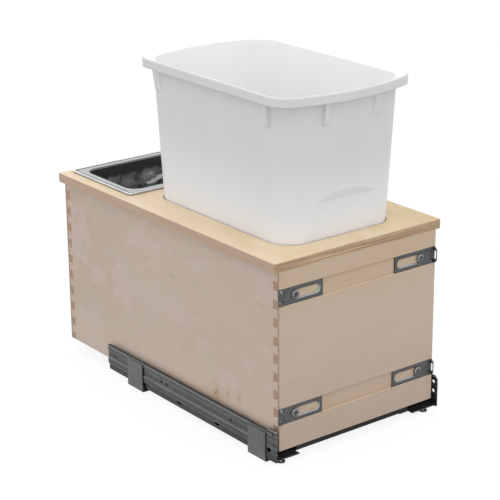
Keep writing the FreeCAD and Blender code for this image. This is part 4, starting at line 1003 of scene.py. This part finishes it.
class WASTE_OT_screws(bpy.types.Operator):
    """Makes the screws of the door brackets and lock clips, with their drives"""

    bl_idname = "waste.screws"
    bl_label = "Screws"

    def execute(self, context):
        # Screws: painted highlights on their upper edges and sloped faces.
        steel = sheet_metal("screw_steel", context.scene.metal_look.screw, 0.34, 0.6, 0.40,
                            dish_highlight=0.50)
        self.door_screws(context.scene.screw_sizes, steel)
        self.clip_screws(context.scene.screw_sizes, steel)
        return {"FINISHED"}

    def door_screws(self, sizes, steel):
        """Large screws in the door brackets' slots, seen from the front."""
        low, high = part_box("door_bracket_screws")
        radius, height = sizes.door_head, sizes.door_height
        turn = Matrix.Rotation(math.pi / 2, 4, "X")
        for side, x in (("left", low.x + radius), ("right", high.x - radius)):
            for level, z in (("lower", low.z + radius), ("upper", high.z - radius)):
                # Each drive stops at its own angle.
                spin = Matrix.Rotation(0.35 + 3.1 * x + 7.0 * z, 4, "Z")
                seat = Vector((x, low.y + height, z))
                bm = cross_screw(radius, height, sizes.door_shank, high.y - seat.y)
                piece = settle(bm, f"door_screw_{level}_{side}", turn @ spin, seat, steel,
                               "drawer")
                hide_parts("door_bracket_screws")

    def clip_screws(self, sizes, steel):
        """Small screws that hold the lock clips, seen from below."""
        low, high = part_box("clip_screws")
        radius, height = sizes.clip_head, sizes.clip_height
        turn = Matrix.Rotation(math.pi, 4, "X")
        outer = high.x - radius
        for place, x in (("outer", outer), ("inner", outer - sizes.clip_gap)):
            for side, sign in (("left", -1.0), ("right", 1.0)):
                spin = Matrix.Rotation(0.6 + 9.0 * sign * x, 4, "Z")
                seat = Vector((sign * x, (low.y + high.y) / 2, low.z + height))
                bm = cross_screw(radius, height, sizes.clip_shank, high.z - seat.z)
                piece = settle(bm, f"clip_screw_{place}_{side}", turn @ spin, seat, steel,
                               "drawer")
                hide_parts("clip_screws")


class WASTE_OT_stage(bpy.types.Operator):
    """Sets out the floor, the light and the camera"""

    bl_idname = "waste.stage"
    bl_label = "Stage"

    def execute(self, context):
        look = context.scene.stage_look
        self.floor(look)
        self.light(look)
        self.camera(look)
        context.scene.view_settings.view_transform = "Standard"
        return {"FINISHED"}

    def floor(self, look):
        """Pale floor that shows white and keeps the shadow."""
        made, net, _, _ = blank("floor_white")
        matt = net.add("ShaderNodeBsdfDiffuse", {"Color": look.floor}).outputs[0]
        glow = net.add("ShaderNodeEmission", {"Color": (1.0, 1.0, 1.0),
                                              "Strength": look.white}).outputs[0]
        share = net.times(seen_by(net, "Camera", "Glossy"), look.glow)
        shown = net.add("ShaderNodeMixShader", {0: share, 1: matt, 2: glow}).outputs[0]
        net.add("ShaderNodeOutputMaterial", {0: shown})
        bm = bmesh.new()
        bmesh.ops.create_grid(bm, x_segments=1, y_segments=1, size=look.floor_reach)
        piece = new_object("floor", new_mesh("floor", bm, made))

    def light(self, look):
        """Even sky and one soft light from overhead."""
        world = bpy.data.worlds.new("studio")
        world.use_nodes = True
        SCENE.world = world
        net = Net(world.node_tree)
        seen = seen_by(net, "Camera", "Glossy", "Transmission")
        strength = net.between(seen, 0.0, 1.0, look.sky, 1.0, smooth=False)
        sky = net.add("ShaderNodeBackground", {"Color": (1.0, 1.0, 1.0), "Strength": strength})
        net.add("ShaderNodeOutputWorld", {0: sky.outputs[0]})
        lamp = bpy.data.lights.new("key", "SUN")
        lamp.energy = look.key
        lamp.angle = look.spread
        piece = new_object("key", lamp)
        piece.rotation_euler = Vector(look.key_way).to_track_quat("-Z", "Y").to_euler()

    def camera(self, look):
        """Camera in front of the unit's left corner, a little above it."""
        lens = bpy.data.cameras.new("camera")
        lens.lens = look.lens
        lens.sensor_width = 36.0
        lens.clip_end = 50.0
        piece = new_object("camera", lens)
        aim = Vector(look.target) - Vector(look.place)
        aim = aim.to_track_quat("-Z", "Y").to_matrix().to_4x4()
        piece.matrix_world = (Matrix.Translation(look.place) @ aim
                              @ Matrix.Rotation(look.roll, 4, "Z"))
        SCENE.camera = piece


OPERATORS = (WASTE_OT_box, WASTE_OT_bin, WASTE_OT_pan, WASTE_OT_slides, WASTE_OT_locks,
             WASTE_OT_screws, WASTE_OT_stage)


class WASTE_PT_unit(bpy.types.Panel):
    """Lists the unit's pieces and settings"""

    bl_label = "Waste Unit"
    bl_idname = "WASTE_PT_unit"
    bl_space_type = "VIEW_3D"
    bl_region_type = "UI"
    bl_category = "Waste Unit"

    def draw(self, context):
        layout = self.layout
        for kind in OPERATORS:
            layout.operator(kind.bl_idname)
        for name in SETTINGS:
            box = layout.box()
            look = getattr(context.scene, name)
            for prop in look.bl_rna.properties:
                if prop.identifier not in {"rna_type", "name"}:
                    box.prop(look, prop.identifier)


SETTINGS = {"wood_look": WoodLook, "metal_look": MetalLook, "plastic_look": PlasticLook,
            "wear_look": EdgesAndShadeLook, "pan_sizes": PanSizes, "screw_sizes": ScrewSizes,
            "stage_look": StageLook}


CLASSES = (*SETTINGS.values(), *OPERATORS, WASTE_PT_unit)


def register():
    """Registers the classes and gives the scene its settings."""
    for kind in CLASSES:
        bpy.utils.register_class(kind)
    for name, kind in SETTINGS.items():
        setattr(bpy.types.Scene, name, PointerProperty(type=kind))


def unregister():
    """Takes the settings and classes away again."""
    for name in SETTINGS:
        delattr(bpy.types.Scene, name)
    for kind in reversed(CLASSES):
        bpy.utils.unregister_class(kind)


def main():
    """Makes the whole scene."""
    register()
    for kind in OPERATORS:
        group, call = kind.bl_idname.split(".")
        getattr(getattr(bpy.ops, group), call)()


if __name__ == "__main__":
    main()
